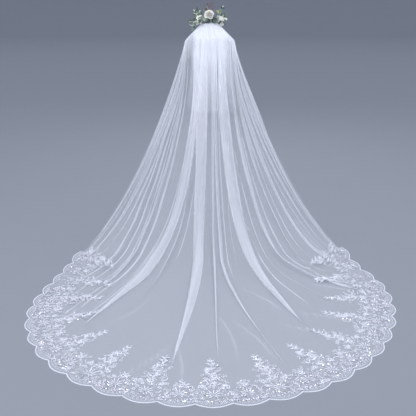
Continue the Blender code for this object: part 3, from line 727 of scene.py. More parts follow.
def fold_height(across, down):
    """How far the gathers, a row of cosines, and the large folds, cosine-squared ridges, stand
    out from the smooth cloth; all fade out near the hem."""
    uneven = 0.72 + 0.28 * np.sin(5.3 * across + 1.7)
    waves = 0.5 + 0.5 * np.cos(np.pi * SCALLOPS * (across + 1))
    height = np.interp(down, GATHER_AT, GATHER_HEIGHT) * uneven * waves
    width_here = width_at(across, down)
    grown = np.interp(down, FOLD_AT, FOLD_HEIGHT_SHARE)
    for fold in FOLDS:
        left = np.clip((fold["ends"] - down) / (fold["ends"] - FOLD_AT[-1]), 0, 1)
        half = fold["width"] / 2 * np.interp(down, FOLD_AT, FOLD_WIDTH_SHARE)
        half = half * (0.35 + 0.65 * left)
        off = np.clip((across - path_of(fold, down)) * width_here / half, -1, 1)
        height = height + fold["height"] * grown * left * np.cos(off * np.pi / 2) ** 2
    return height


def pleat_line(number, pleat, down):
    """A pleat's path, a little unsteady."""
    return path_of(pleat, down) + 0.003 * np.sin(5 * down + 1.7 * number)


def pleat_stage(pleat, down):
    """How far a pleat has grown on the way down, and how much of it is left near its end."""
    grown = np.interp(down, PLEAT_AT, PLEAT_WIDTH_SHARE)
    return grown, ease((pleat["ends"] - down) / PLEAT_OPENS)


def pleat_unit(pleat, down, width_row):
    """A pleat's own unit across the cut: its overlap over its reach and the cloth's width."""
    grown, _ = pleat_stage(pleat, down)
    narrow = 0.15 + 0.85 * ease((pleat["ends"] - down) / PLEAT_FADES)
    wide = np.maximum(pleat["wide"] * grown * narrow, PLEAT_LEAST * (down > SHOULDER))
    return np.maximum(wide / (PLEAT_REACH * width_row), 1e-4)


def threads_along(pleats, columns, stages, width_row):
    """The cut's grid. A fixed number of columns runs along each pleat, at fixed places in its
    own units, so that they draw its edges clean; the rest fill the net between by its width."""
    knots = [np.full(len(stages), -1.0)]
    for number, pleat in enumerate(pleats):
        middle = pleat_line(number, pleat, stages)
        half = PLEAT_ZONE * pleat_unit(pleat, stages, width_row)
        knots += [middle - half, middle + half]
    knots = np.stack([*knots, np.full(len(stages), 1.0)], 1)
    apart = PLEAT_KNOT * np.arange(knots.shape[1])
    knots = np.minimum(np.maximum.accumulate(knots - apart, axis=1) + apart, 1.0)
    counts = np.diff(knots.mean(axis=0))
    counts *= (columns - PLEAT_THREADS * len(pleats)) / counts[::2].sum()
    counts[1::2] = PLEAT_THREADS
    at = np.concatenate([[0.0], np.cumsum(counts)]) / counts.sum()
    even = np.linspace(0, 1, columns)
    return np.stack([np.interp(even, at, knot) for knot in knots])


def near_hem(across, down):
    """1 away from the hem and 0 at it."""
    gap = np.linalg.norm(smooth_cloth(across, down) - hem_line(across), axis=-1)
    return ease(gap / HEM_FADE)


def crease_height(across, down):
    """Creases on the train: each a ridge, a squared bell across its line and a half sine along
    it."""
    spot = smooth_cloth(across, down)[..., :2]
    height = np.zeros(across.shape)
    for crease in CREASES:
        places = np.array([crease["across_a"], crease["across_b"]])
        ends = smooth_cloth(places, np.array([crease["down_a"], crease["down_b"]]))[:, :2]
        run = ends[1] - ends[0]
        length = np.linalg.norm(run)
        ahead = run / length
        aside = np.array([-ahead[1], ahead[0]])
        arch = np.sin(np.pi * np.clip((spot - ends[0]) @ ahead / length, 0, 1))
        off = ((spot - ends[0]) @ aside - CREASE_BOW * length * arch) / crease["width"]
        bell = np.exp(-((off * CREASE_SHARP) ** 2))
        height = height + crease["height"] * arch**0.8 * bell
    return height


def pleated(cut, down, pleats, width_row):
    """Knife pleats. With t the distance from a pleat's line in its own units, a thread of the
    cut moves by -pull * unit * t * exp(-t^2), so that the middle turns back under itself, and
    rises by half of 1 + tanh(1.6 t). Returns place across, rise and how closely it is pressed.
    """
    place, rise, press = cut.copy(), np.zeros_like(cut), np.zeros_like(cut)
    for number, pleat in enumerate(pleats):
        grown, left = pleat_stage(pleat, down)
        own = pleat_unit(pleat, down, width_row)
        t = (cut - pleat_line(number, pleat, down)) / own
        place = place - PLEAT_PULL * left * own * t * np.exp(-(t**2))
        settle = np.exp(-np.maximum(pleat["side"] * t - PLEAT_EDGE, 0) ** 2 / 6)
        lift = pleat["tall"] * grown * left
        rise = rise + lift * (0.5 + 0.5 * np.tanh(1.6 * pleat["side"] * t)) * settle
        edge = np.exp(-(((np.abs(t) - PLEAT_EDGE) / PLEAT_EDGE_WIDE) ** 2))
        inside = np.exp(-((t / PLEAT_INSIDE) ** 4)) * min(1.0, pleat["wide"] / PLEAT_BAND)
        press = press + left * np.maximum(edge, PLEAT_PRESS * inside)
    return place, rise, press


def pleat_cover(across, down):
    """The height of the top layer over the pleats, a bell over each, for what lies on them."""
    height = np.zeros_like(across)
    width_here = width_at(across, down)
    for pleat in PLEATS:
        grown, left = pleat_stage(pleat, down)
        half = pleat["wide"] * grown * 0.9 + 0.004
        off = (across - path_of(pleat, down)) * width_here / half
        height = height + pleat["tall"] * grown * left * np.exp(-(off**4) / 4)
    return height


def ripple_height(cut, down):
    """Fine ripples down the fall: a few sines of the cut's width, each from 0 upwards."""
    height = np.zeros_like(cut)
    for count, tall, phase in RIPPLES:
        wave = 0.5 + 0.5 * np.sin(np.pi * count * cut + phase + 1.5 * np.sin(3 * cut + phase))
        height = height + tall * wave
    return height * np.interp(down, RIPPLE_AT, RIPPLE_SHARE)


def rows_between(*stretches):
    """Stages from (start, end, count) stretches, evenly spaced in each."""
    parts = [np.linspace(start, end, count, endpoint=False) for start, end, count in stretches]
    return np.append(np.concatenate(parts), stretches[-1][1])


STREAKS = ((29, 0.3), (53, 1.9), (83, 4.0), (127, 2.6), (173, 5.1))  # number across and phase
# The shares of the gathered net that bunch along pleats and in streaks, and how much closer a
# pleat's own layers look.
BY_PLEATS, BY_STREAKS, PRESSED = 1.2, 0.8, 1.6


def bunched(points, cut_width, press, cut, most, even):
    """How many flat layers' worth of thread the net shows: of the width still gathered in each
    row an even share lies all over it, and the rest bunches along the pleats and in streaks, a
    sum of sines."""
    lengths = np.linalg.norm(np.diff(points, axis=1), axis=-1).sum(axis=1)
    gathered = np.clip(cut_width / lengths, 1.0, most)[:, None] - 1
    streaks = sum(np.sin(np.pi * n * cut + start) for n, start in STREAKS) / len(STREAKS) * 2
    share = even + BY_PLEATS * press + BY_STREAKS * np.maximum(streaks, 0) ** 2
    return (1 + gathered * share) * (1 + PRESSED * press)


def make_sheet(name, points, cut, cut_width, closeness, settings):
    """A tier's mesh, with metres of its cut as uv and how closely its threads lie."""
    uv = stacked(cut * cut_width / 2, -run_along(points))
    stuff = tulle_material(settings)
    made = make_piece(name, grid_part(points, uv), stuff, {"closeness": closeness})
    made.visible_shadow = False
    return made


# ---- The long tier ----

LONG_COLUMNS = 1250
LONG_ROWS = rows_between(
    (0.0, 0.3, 4), (0.3, 1.0, 8), (1.0, 2.0, 21), (2.0, 3.0, 19), (3.0, 4.0, 26)
)
LONG_MOST = 14.0  # the most layers' worth of net that is drawn
LONG_EVEN, LONG_EVEN_TOP = 0.20, 0.45  # the share that lies even all over, and what the top adds
# The layers' worth of gathered net over the shoulders, and how far below them it runs.
DOUBLED, DOUBLED_BELOW, DOUBLED_FADE = 2.6, 0.10, 0.10


def make_long_tier(settings):
    """The long tier: a sheet at smooth_cloth of its pleated place, moved out by its folds,
    pleats, ripples and creases."""
    side, down = np.meshgrid([-0.35, 0.35], LONG_ROWS)
    width_row = width_at(side, down).mean(axis=1, keepdims=True)
    cut = threads_along(PLEATS, LONG_COLUMNS, LONG_ROWS, width_row[:, 0])
    down = np.broadcast_to(LONG_ROWS[:, None], cut.shape)
    place, rise, press = pleated(cut, down, PLEATS, width_row)
    place = np.clip(place, -1, 1)
    crease = crease_height(place, down)
    out = fold_height(place, down) + rise + ripple_height(cut, down) + crease
    out = out * near_hem(place, down) + LYING
    points = smooth_cloth(place, down) + outward(place, down) * out[..., None]
    points[..., 2] = np.maximum(points[..., 2], FLOOR_Z + LYING / 2)
    even = LONG_EVEN + LONG_EVEN_TOP * (1 - ease(down / SHOULDER))
    closeness = bunched(points, CUT_WIDTH, press, cut, LONG_MOST, even)
    closeness = closeness * (1 + CREASE_PRESS * np.clip(crease / CREASE_FULL, 0, 1))
    below = down - SHOULDER - DOUBLED_BELOW * (1 - np.abs(cut))
    closeness = closeness + DOUBLED * (1 - ease(below / DOUBLED_FADE))
    made = make_sheet("long_tier_tulle", points, cut, CUT_WIDTH, closeness, settings)
    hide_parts("long_tier_fall", "train")


# ---- The short tier ----

SHORT_COLUMNS, SHORT_ROWS = 900, 60
SHORT_NOTCH, SHORT_NOTCH_AT, SHORT_NOTCH_WIDE, SHORT_WAVE = 0.022, -0.08, 0.06, 0.006
SHORT_FINE = 0.6  # its ripples and streaks are this many for the long tier's one
SHORT_MOST, SHORT_EVEN = 10.0, 0.45
# The layers' worth of gathers it adds all over and in the middle, how much of its net is gone
# at its hem, and where down it that starts.
SHORT_FULL, SHORT_MIDDLE, SHORT_THINS, SHORT_THINS_FROM = 1.2, 2.6, 0.94, 0.35


def make_short_tier(settings):
    """The short tier: a sheet over the long one, narrower, with its own pleats and gathers;
    its hem rises at the sides by the fourth power and in a shallow notch near the middle."""
    cut, share = np.meshgrid(np.linspace(-1, 1, SHORT_COLUMNS), np.linspace(0, 1, SHORT_ROWS))
    notch = SHORT_NOTCH * np.exp(-(((cut - SHORT_NOTCH_AT) / SHORT_NOTCH_WIDE) ** 2))
    notch = notch + SHORT_WAVE * np.sin(9 * cut + 1) ** 2
    down = share * (SHORT_LENGTH - SHORT_ROUNDING * cut**4 - notch)
    reach, shift = np.interp(down, SHORT_AT, SHORT_REACH), np.interp(down, SHORT_AT, SHORT_SHIFT)
    width_row = (width_at(shift, down) * reach).mean(axis=1, keepdims=True)
    side, rise, press = pleated(cut, down, SHORT_PLEATS, width_row)
    across = np.clip(side, -1, 1) * reach + shift
    tallest = max(fold["height"] for fold in FOLDS)
    under = np.interp(down, GATHER_AT, GATHER_HEIGHT)
    under = under + tallest * np.interp(down, FOLD_AT, FOLD_HEIGHT_SHARE)
    waves = 0.5 + 0.5 * np.cos(np.pi * SHORT_GATHERS * (cut + 1))
    waves = np.interp(down, SHORT_AT, SHORT_HEIGHT) * waves
    clear = SHORT_CLEAR * np.interp(down, (0.0, 0.3, 1.0), (0.2, 0.6, 1.0))
    fine = cut * SHORT_FINE
    out = under + clear + waves + rise + ripple_height(fine, down)
    points = smooth_cloth(across, down) + outward(across, down) * out[..., None]
    closeness = bunched(points, SHORT_CUT_WIDTH, press, fine, SHORT_MOST, SHORT_EVEN)
    closeness = closeness + SHORT_FULL + SHORT_MIDDLE * (1 - cut**4)
    gone = ease((share - SHORT_THINS_FROM) / (1 - SHORT_THINS_FROM))
    closeness = closeness * (1 - SHORT_THINS * gone)
    made = make_sheet("short_tier_tulle", points, cut, SHORT_CUT_WIDTH, closeness, settings)
    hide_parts("short_tier")
    return made


# ---- The embroidered border ----
#
# A motif is drawn flat, in metres: u along the hem and v inwards from the scallops' tips. It is
# a list of lines, each of nine points with two half widths for each point: one counted in
# threads, which a motif's scale leaves alone, and one in metres, which grows with it.

LINE_POINTS = 9
WAY = np.linspace(0.0, 1.0, LINE_POINTS)
SCALLOP_WIDTH, SCALLOP_HALF = 0.177, 0.088
FAN_AT = 0.098  # how far in the middle of each scallop's fan blossom lies
FILLING_GAP = 0.031
LACE_LIFT, SEQUIN_LIFT = 0.0006, 0.0032  # above the net's top layer
FULL_LINE = 0.0017  # the half width of a line that stands as high as the relief
CORD_TWIST, CORD_RIB = 0.010, 0.16


def outlined(points, threads):
    """A line whose half width is counted in threads."""
    return points, threads + 0 * WAY, 0 * WAY


def loop(length, width, threads=1.0):
    """An outlined leaf from the origin up and back: sine of half a turn against sine of a
    turn."""
    x, y = width / 2 * np.sin(2 * np.pi * WAY), length * np.sin(np.pi * WAY)
    return outlined(stacked(x, y), threads)


def blade(length, width, start=0.0):
    """A filled petal from start upwards: a straight line whose half width is a sine."""
    half = width / 2 * np.sin(np.pi * (0.08 + 0.84 * WAY)) ** 0.8
    return stacked(0 * WAY, start + (length - start) * WAY), 0 * WAY, half


def ring(radius, threads=1.0):
    """A circle about the origin."""
    turn = 2 * np.pi * WAY
    return outlined(stacked(radius * np.cos(turn), radius * np.sin(turn)), threads)


def scroll(size):
    """A curl: a spiral that turns 1.2 times as it closes in."""
    turn = 2.4 * np.pi * WAY
    radius = size * (1 - 0.78 * WAY)
    points = stacked(size - radius * np.cos(turn), radius * np.sin(turn))
    return outlined(points, 0.6 + 0.5 * np.sin(np.pi * WAY))


def stalk(start, end, bow, threads):
    """A stem: straight from start to end, bowed sideways by a half sine, thinner at its end."""
    run = np.array(end) - start
    aside = np.array([-run[1], run[0]])
    points = start + run * WAY[:, None] + aside * (bow * np.sin(np.pi * WAY))[:, None]
    return outlined(points, threads * (1 - 0.4 * WAY))


def placed(lines, u, v, turn=0.0, scale=1.0):
    """Lines turned (degrees, anticlockwise), scaled and moved to (u, v)."""
    c, s = math.cos(math.radians(turn)), math.sin(math.radians(turn))
    spin = np.array([[c, s], [-s, c]]) * scale
    return [(points @ spin + (u, v), threads, half * scale) for points, threads, half in lines]


def rayed(line, out, turns, v=0.0):
    """A line moved outwards and set at each of these turns round a middle at (0, v)."""
    return [one for turn in turns for one in placed(placed([line], 0, out), 0, v, turn)]


def fan_blossom():
    """A blossom of narrow filled petals, longer towards the top, round a ring."""
    lines = [ring(0.0050)]
    for turn in np.linspace(-140, 140, 9):
        longer = 0.037 + 0.006 * math.cos(math.radians(turn))
        lines += placed([blade(longer, 0.0058, 0.009)], 0, 0, turn)
    return lines


def round_blossom():
    """A blossom of six outlined round petals about a bold ring."""
    return [ring(0.0115, 1.7)] + rayed(loop(0.015, 0.014, 0.9), 0.013, range(12, 360, 60))


def swell(u):
    """How much deeper than its tip a scallop's edge lies at u: a power of a cosine."""
    return SCALLOP_DEPTH * (1 - np.cos(np.pi * u / SCALLOP_WIDTH) ** 0.9)


def spots(draw, low, high, width):
    """Places for small motifs on a loose triangular grid, v from low to high and u within the
    half width at each v."""
    places = []
    for row, v in enumerate(np.arange(low, high, FILLING_GAP * 0.87)):
        half = width(v)
        for u in np.arange(FILLING_GAP * (0.2 + 0.5 * (row % 2)) - half, half, FILLING_GAP):
            places.append(np.array([u, v]) + draw.normal(0, FILLING_GAP * 0.16, 2))
    return places


def two_of(line, aside, turn=0.0):
    """A line on both sides of a middle: moved aside and turned out by as much."""
    return placed([line], -aside, 0, -turn) + placed([line], aside, 0, turn)


SMALL_MOTIFS = (
    two_of(blade(0.024, 0.024 * 0.26), 0.0, 52),
    [ring(0.0085, 1.2)],
    [scroll(0.0115)],
    [loop(0.027, 0.013)],
    [blade(0.024, 0.0048)],
    two_of(blade(0.022, 0.0042), 0.005),
)


def shell(draw):
    """What every scallop has: a line along its edge with a row of loops over it, and a fan
    blossom ringed by a line of loops."""
    edge = 0.98 * SCALLOP_WIDTH / 2 * (2 * WAY - 1)
    lines = [outlined(stacked(edge, 0.014 + swell(edge)), 0.7)]
    for u in np.linspace(-0.076, 0.076, 8):
        lean = math.degrees(u / 0.11)
        lines += placed([loop(0.0170, 0.0130, 0.8)], u, 0.020 + swell(u), -lean)
    lines += placed(fan_blossom(), 0, FAN_AT, draw.uniform(-8, 8), 1.05)
    return lines + rayed(loop(0.017, 0.014, 0.8), 0.052, np.linspace(-150, 150, 11), 0.096)


def main_spray(draw, broad):
    """A tall triangular spray over a shell: round blossoms up a stem, flanked by leaves and
    smaller blossoms, closer at its foot. draw gives its small differences, broad its width."""
    sway = draw.uniform(-0.014, 0.014)
    lines = shell(draw)
    blossoms = ((0.4, 0.0, 0.186, 1.00), (0.8, 0.016, 0.258, 0.86), (1.0, -0.018, 0.312, 0.70))
    for swayed, aside, v, size in blossoms:
        u = sway * swayed + aside * broad
        lines += placed(round_blossom(), u, v, draw.uniform(0, 60), size)
    lines += placed([ring(0.0085, 1.3)], sway + 0.008, 0.362)
    lines += placed([ring(0.0060, 1.2)], sway, 0.398)
    lines += [stalk((sway * 0.6, 0.21), (sway, 0.425), sway * 2, 0.9)]
    for hand in (-1, 1):
        lines += placed(round_blossom(), hand * 0.056 * broad, 0.170, draw.uniform(0, 60), 0.66)
        for v in (0.232, 0.285, 0.335, 0.378, 0.410):
            size = (0.080 * (0.50 - v) + 0.012) * broad
            leaf = [blade(size * 1.1, 0.0046), loop(size * 1.2, size * 0.45, 0.8)]
            lines += placed(leaf, sway, v - 0.01, -hand * draw.uniform(48, 70))
    return lines + placed([blade(0.020, 0.0040)], sway, 0.414, draw.uniform(-25, 25))


def small_spray(draw):
    """A low spray between two tall ones: a round blossom over a shell, with four leaves."""
    lines = shell(draw) + placed(round_blossom(), 0.0, 0.172, draw.uniform(0, 60), 0.72)
    return lines + rayed(blade(0.020, 0.0044), 0.022, (-60, -20, 20, 60), 0.172)


def filling(draw, top, broad):
    """Small motifs between the larger ones: over the whole scallop near the hem, and narrowing
    to the spray's top above."""

    def width(v):
        share = (v - 0.165) / (top - 0.165)
        return broad * (0.008 + 0.076 * (1 - share**1.2))

    lines = []
    low = spots(draw, 0.060, 0.165, lambda v: SCALLOP_HALF)
    for u, v in low + spots(draw, 0.170, top, width):
        if math.hypot(u, v - FAN_AT) > 0.052:
            motif = SMALL_MOTIFS[draw.integers(0, len(SMALL_MOTIFS))]
            lines += placed(motif, u, v, draw.uniform(0, 360), draw.uniform(0.8, 1.1))
    return lines


def scallop_middle(number):
    """The place round the hem, -1 to 1, of a scallop's middle."""
    return -1 + 2 * (number + 0.5) / SCALLOPS


def on_the_hem(middle, u, v):
    """Angle about the train's centre and distance inwards of a motif's flat points."""
    angle = np.radians(TRAIN_TURN + TRAIN_SWEEP * middle)
    return angle + u / (tip_radius(middle) - v), v


def lay_on_cloth(angle, inward):
    """The places (across, down) on the cloth at these angles about the train's centre and
    distances in from the scallops' tips, the rise of the cloth counted in. Newton's method on
    whole arrays. Also returns whether each was found on the cloth."""
    turned = (np.degrees(angle) - TRAIN_TURN) / TRAIN_SWEEP
    across = np.clip(turned, -0.995, 0.995)
    length = np.linalg.norm(hem_line(across) - landing_line(across), axis=-1)
    down = HEM - inward / np.maximum(length, 0.3)

    def miss(a, d):
        x, y, z = np.moveaxis(smooth_cloth(a, d), -1, 0)
        x, y = x - TRAIN_CENTRE[0], y - TRAIN_CENTRE[1]
        here, radius = np.arctan2(x, -y), np.hypot(x, y)
        off = (here - angle + np.pi) % (2 * np.pi) - np.pi
        tip = tip_radius((np.degrees(here) - TRAIN_TURN) / TRAIN_SWEEP)
        return off * radius, tip - radius + z + COMB_HEIGHT - inward

    step = 1e-4
    for _ in range(14):
        f, g = miss(across, down)
        fa, ga = miss(across + step, down)
        fd, gd = miss(across, down + step)
        fa, ga, fd, gd = (fa - f) / step, (ga - g) / step, (fd - f) / step, (gd - g) / step
        size = fa * gd - fd * ga
        size = np.where(np.abs(size) < 1e-6, 1e-6, size)
        across = across - np.clip((f * gd - g * fd) / size, -0.05, 0.05)
        down = down - np.clip((g * fa - f * ga) / size, -0.15, 0.15)
        across, down = np.clip(across, -1.02, 1.02), np.clip(down, 1.6, 4.05)
    f, g = miss(across, down)
    found = (np.hypot(f, g) < 0.002) & (np.abs(across) < 0.996) & (down < 3.995)
    return across, down, found


def on_top(across, down, lift):
    """Points lying on the long tier, this much above its top layer."""
    under = fold_height(across, down) + pleat_cover(across, down) + crease_height(across, down)
    height = under * near_hem(across, down) + LYING + lift
    points = smooth_cloth(across, down) + outward(across, down) * height[..., None]
    points[..., 2] = np.maximum(points[..., 2], FLOOR_Z + LYING + lift / 2)
    return points


def make_embroidery(name, per_scallop, settings):
    """A piece of embroidery from each scallop's lines: every line is a raised band, three
    points wide, carried along the line and laid on the cloth."""
    lines = [line for scallop in per_scallop for line in scallop]
    number = np.repeat(np.arange(SCALLOPS), [len(scallop) for scallop in per_scallop])
    flat, threads, metres = (np.stack(part) for part in zip(*lines))
    half = threads * settings.thread + metres
    ahead = unit(np.gradient(flat, axis=1))
    aside = stacked(-ahead[..., 1], ahead[..., 0]) * half[..., None]
    band = np.stack([flat - aside, flat, flat + aside], 2)
    middle = scallop_middle(number)[:, None, None]
    angle, inward = on_the_hem(middle, band[..., 0], band[..., 1])
    across, down, found = lay_on_cloth(angle.ravel(), inward.ravel())
    raised = np.clip(half / FULL_LINE, 0.5, 1.6)[..., None] * np.array([0.0, 1.0, 0.0])
    points = on_top(across, down, LACE_LIFT + settings.relief * raised.ravel())
    start = np.arange(len(lines))[:, None, None] * LINE_POINTS * 3
    faces = (grid_faces(LINE_POINTS, 3) + start).reshape(-1, 4)
    used, faces = np.unique(faces[found[faces].all(axis=1)], return_inverse=True)
    run = run_along(flat.swapaxes(0, 1)).T
    uv = stacked(half[..., None] * np.array([-1.0, 0.0, 1.0]), run[..., None]).reshape(-1, 2)
    stuff = thread_material("lace_rayon_satin_stitch", settings.colour, 0.0012)
    return make_piece(name, (points[used], faces.reshape(-1, 4), uv[used]), stuff)


def make_lace(settings):
    """The border's embroidery, a tall spray on every second scallop, and its filling."""
    draw = np.random.default_rng(11)
    sizes = [(n % 2 == 0, 1.0 + 0.40 * abs(scallop_middle(n)) ** 1.5) for n in range(SCALLOPS)]
    sprays = [main_spray(draw, broad) if tall else small_spray(draw) for tall, broad in sizes]
    between = [filling(draw, 0.405 if tall else 0.215, broad) for tall, broad in sizes]
    embroidery = make_embroidery("lace_embroidery", sprays, settings)
    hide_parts("lace_border")
    return [embroidery, make_embroidery("lace_filling", between, settings)]


def make_sequins(settings):
    """Sequins sewn over the border: six-sided cups, each tilted a little its own way, closer
    together towards the hem."""
    draw = np.random.default_rng(23)
    number = np.repeat(np.arange(SCALLOPS), settings.sequins)
    tall = np.where(number % 2 == 0, 0.36, 0.14)
    v = 0.036 + tall * draw.random(len(number)) ** 2.1
    narrow = np.clip(1.15 - v / (tall + 0.10), 0.12, 1.0)
    u = draw.uniform(-SCALLOP_HALF, SCALLOP_HALF, len(number)) * narrow
    across, down, found = lay_on_cloth(*on_the_hem(scallop_middle(number), u, v))
    across, down = across[found], down[found]
    count = len(across)
    normal = unit(outward(across, down) + draw.normal(0, 0.32, (count, 3)))
    level = unit(np.cross(normal, np.array([0.3, 1.0, 0.1])))
    radius = settings.sequin * draw.uniform(0.75, 1.2, count)[:, None, None]
    rim = circles(6, level, np.cross(normal, level)) * radius + normal[:, None] * 0.0004
    points = (on_top(across, down, SEQUIN_LIFT)[:, None] + rim).reshape(-1, 3)
    corner = np.arange(count)[:, None] * 6
    faces = np.concatenate([corner + np.array([0, 1, 2, 3]), corner + np.array([0, 3, 4, 5])])
    turn = 2 * np.pi * np.arange(6) / 6
    uv = np.tile(stacked(np.cos(turn), np.sin(turn)) * 0.5 + 0.5, (count, 1))
    return make_piece("lace_sequins", (points, faces, uv), sequin_material())


def make_hem_cord(settings):
    """The corded edge: a half-round band along the scallops, ribbed by a helix, so that it
    looks laid from two twisted strands."""
    line = hem_line(np.linspace(-1, 1, SCALLOPS * 40 + 1))
    along = unit(np.gradient(line, axis=0))
    out = stacked(along[:, 1], -along[:, 0], 0.0)
    run = run_along(line)[:, None]
    turn = np.linspace(0, np.pi, 7)
    half = settings.cord / 2
    rib = 1 + CORD_RIB * np.cos(2 * np.pi * run / CORD_TWIST + 2 * turn)
    wide = half * 0.9 - np.cos(turn) * half * rib
    points = line[:, None] + out[:, None] * wide[..., None]
    points[..., 2] += np.sin(turn) * half * 0.85 * rib + 0.0002
    part = grid_part(points, stacked(turn * half, run), flipped=True)
    stuff = thread_material("satin_cord_twisted", settings.colour, 0.0016, 0.2)
    made = make_piece("hem_satin_cord", part, stuff)
    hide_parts("hem_cord")
    return made


# ---- The flowers ----


def wire_point(along):
    """The taped wire's line: level on the band, drooping by a square past its ends."""
    past = np.maximum(np.abs(along) - WIRE_FLAT, 0.0)
    return stacked(along, WIRE_Y, WIRE_Z - WIRE_DROOP * past**2)


def stem_foot(along, direction):
    """Where a stem of this direction stands on the wire, just clear of it."""
    direction = unit(direction)
    wire = unit(wire_point(along + 0.001) - wire_point(along - 0.001))
    level = abs(float(direction @ wire))
    clear = WIRE_RADIUS + STEM_GAP + STEM_RADIUS * level
    return wire_point(along) + direction * clear / math.sqrt(1 - level**2)


def flower_axes(direction):
    """Two directions square to a stem, and the stem's own."""
    direction = unit(direction)
    level = np.array([0.0, 0.0, 1.0]) if abs(direction[2]) < 0.9 else np.array([1.0, 0, 0])
    across = unit(np.cross(direction, level))
    return np.stack([across, np.cross(direction, across), direction])


def leaf_grid(rows, columns):
    """The way along a leaf or petal (0 to 1) and across it (-1 to 1), and both as uv."""
    b, a = np.meshgrid(np.linspace(0, 1, rows), np.linspace(-1, 1, columns), indexing="ij")
    return b, a, stacked(a / 2 + 0.5, b)


def petal(turn, base, rise, length, width, lean, curl, cup, ruffle=0.0, notch=0.0, rows=9):
    """One petal about the +Z axis. Along it, the slope turns from lean by curl (degrees); across
    it, the half width is a sine and the edges rise by cup times the square of the way across,
    and wave by ruffle."""
    b, a, uv = leaf_grid(rows, 9)
    way = np.linspace(0, 1, 40)
    slope = np.radians(lean + curl * way)
    middle = np.stack([np.cos(slope), np.sin(slope)])
    out, up = np.pad(np.cumsum(middle, axis=1)[:, :-1], ((0, 0), (1, 0))) * length / len(way)
    share = b * (1 - notch * np.exp(-((a / 0.25) ** 2)) * b)
    half = width / 2 * np.sin(np.pi * (0.10 + 0.74 * b)) ** 0.7
    inwards = np.interp(share, way, slope)
    lift = cup * half * a**2 + ruffle * half * np.sin(2.5 * np.pi * a) * b**2
    x = base + np.interp(share, way, out) - half * a**2 * 0.25 * b - lift * np.sin(inwards)
    y = half * a
    z = rise + np.interp(share, way, up) + lift * np.cos(inwards)
    c, s = math.cos(turn), math.sin(turn)
    return grid_part(stacked(x * c - y * s, x * s + y * c, z), uv)


def bead(centre, radius, rings=6, sides=8):
    """A small ball: circles whose radius is a sine between two poles."""
    up = np.linspace(0, np.pi, rings)[:, None]
    turn = 2 * np.pi * np.arange(sides) / sides
    ball = stacked(np.sin(up) * np.cos(turn), np.sin(up) * np.sin(turn), -np.cos(up))
    uv = stacked(turn / 7, up / 3.2)
    return grid_part(centre + ball * radius, uv, closed=True, flipped=True)


def make_bloom(flower, ending, faces_way, parts, stuff):
    """A flower's parts, made about +Z, as one piece at its stem's tip, facing this way."""
    out = unit(flower["direction"]) * flower["stem"]
    tip, axes = stem_foot(flower["along"], flower["direction"]) + out, flower_axes(faces_way)
    turned = [(tip + points @ axes, faces, uv) for points, faces, uv in parts]
    made = make_piece(flower["name"] + ending, joined(turned), stuff)
    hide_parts(flower["name"])


def make_rose(settings):
    """The open rose: petals at the golden angle, upright and wrapped at the heart, then longer,
    wider and leaning out."""
    r = ROSE["radius"]
    parts = [
        petal(
            turn=i * GOLDEN_ANGLE, base=r * (0.04 + 0.20 * share), rise=r * (0.34 - 0.30 * share),
            length=r * (0.66 + 0.60 * share**0.7), width=r * (0.70 + 0.85 * share**0.8),
            lean=84 - 34 * share, curl=48 - 108 * share**0.8, cup=0.60 - 0.30 * share,
            ruffle=0.10 * share, rows=10,
        )
        for i, share in enumerate(np.linspace(0, 1, 30))
    ]
    stuff = petal_material("silk_petal_ivory", settings.petal, linear("F2EEE2"))
    make_bloom(ROSE, "_bloom", ROSE_FACES, parts, stuff)


def make_blossoms(settings):
    """The open blossoms, five notched petals round a cluster of stamens, and the half-open bud,
    whose seven petals stand round its heart."""
    ivory = petal_material("silk_petal_white", settings.petal, linear("ECEEDA"))
    for flower in BLOSSOMS:
        r = flower["radius"]
        round_it = [i * 2 * np.pi / 5 + 0.3 for i in range(5)]
        shape = (r * 0.10, 0.0, r * 1.05, r * 0.84, 32, -30, 0.30, 0.06, 0.14)
        parts = [petal(turn, *shape) for turn in round_it]
        for i in range(7):
            spot = np.array([0.13 * math.cos(i * 2.4), 0.13 * math.sin(i * 2.4), 0.35]) * r
            parts.append(bead(spot * (0.4 + 0.1 * i), r * 0.07, 5, 6))
        make_bloom(flower, "_bloom", flower["direction"], parts, ivory)
    r = BUD["radius"]
    parts = [
        petal(i * GOLDEN_ANGLE, r * 0.10, 0.0, r * (1 + 0.09 * i), r * 1.3, 58 - 3 * i, -10, 0.6)
        for i in range(7)
    ]
    stuff = petal_material("silk_petal_yellow", settings.bud, linear("A9AE66"))
    make_bloom(BUD, "_petals", BUD_FACES, parts, stuff)


def make_stems():
    """The stems of the rose, the blossoms and the bud: thin tapered bars on the wire."""
    share = np.linspace(0, 1, 6)
    parts = []
    for flower in (ROSE, *BLOSSOMS, BUD):
        foot, direction = stem_foot(flower["along"], flower["direction"]), unit(flower["direction"])
        line = foot + direction * (flower["stem"] * 1.02 * share)[:, None]
        parts.append(tube(line, STEM_RADIUS * (1 + 1.6 * share**6), 8))
    stuff = speckled_material(
        "floral_tape_crepe_stem", linear("4A5F3A"), 0.75, 0.0012, 0.3, 0.0002
    )
    make_piece("flower_stems", joined(parts), stuff)


def leaf_blade(foot, direction, face, length, width):
    """One leaf: half width a skewed sine of the way along, creased along its midrib and curled
    back by a square."""
    b, a, uv = leaf_grid(9, 5)
    direction = unit(direction)
    side = unit(np.cross(direction, face))
    face = np.cross(side, direction)
    half = width / 2 * np.sin(np.pi * b**0.8) ** 0.85 + width * 0.01
    points = foot + direction * (length * b)[..., None] + side * (half * a)[..., None]
    points = points + face * (0.35 * half * np.abs(a) - 0.25 * length * b**2)[..., None]
    return grid_part(points, uv)


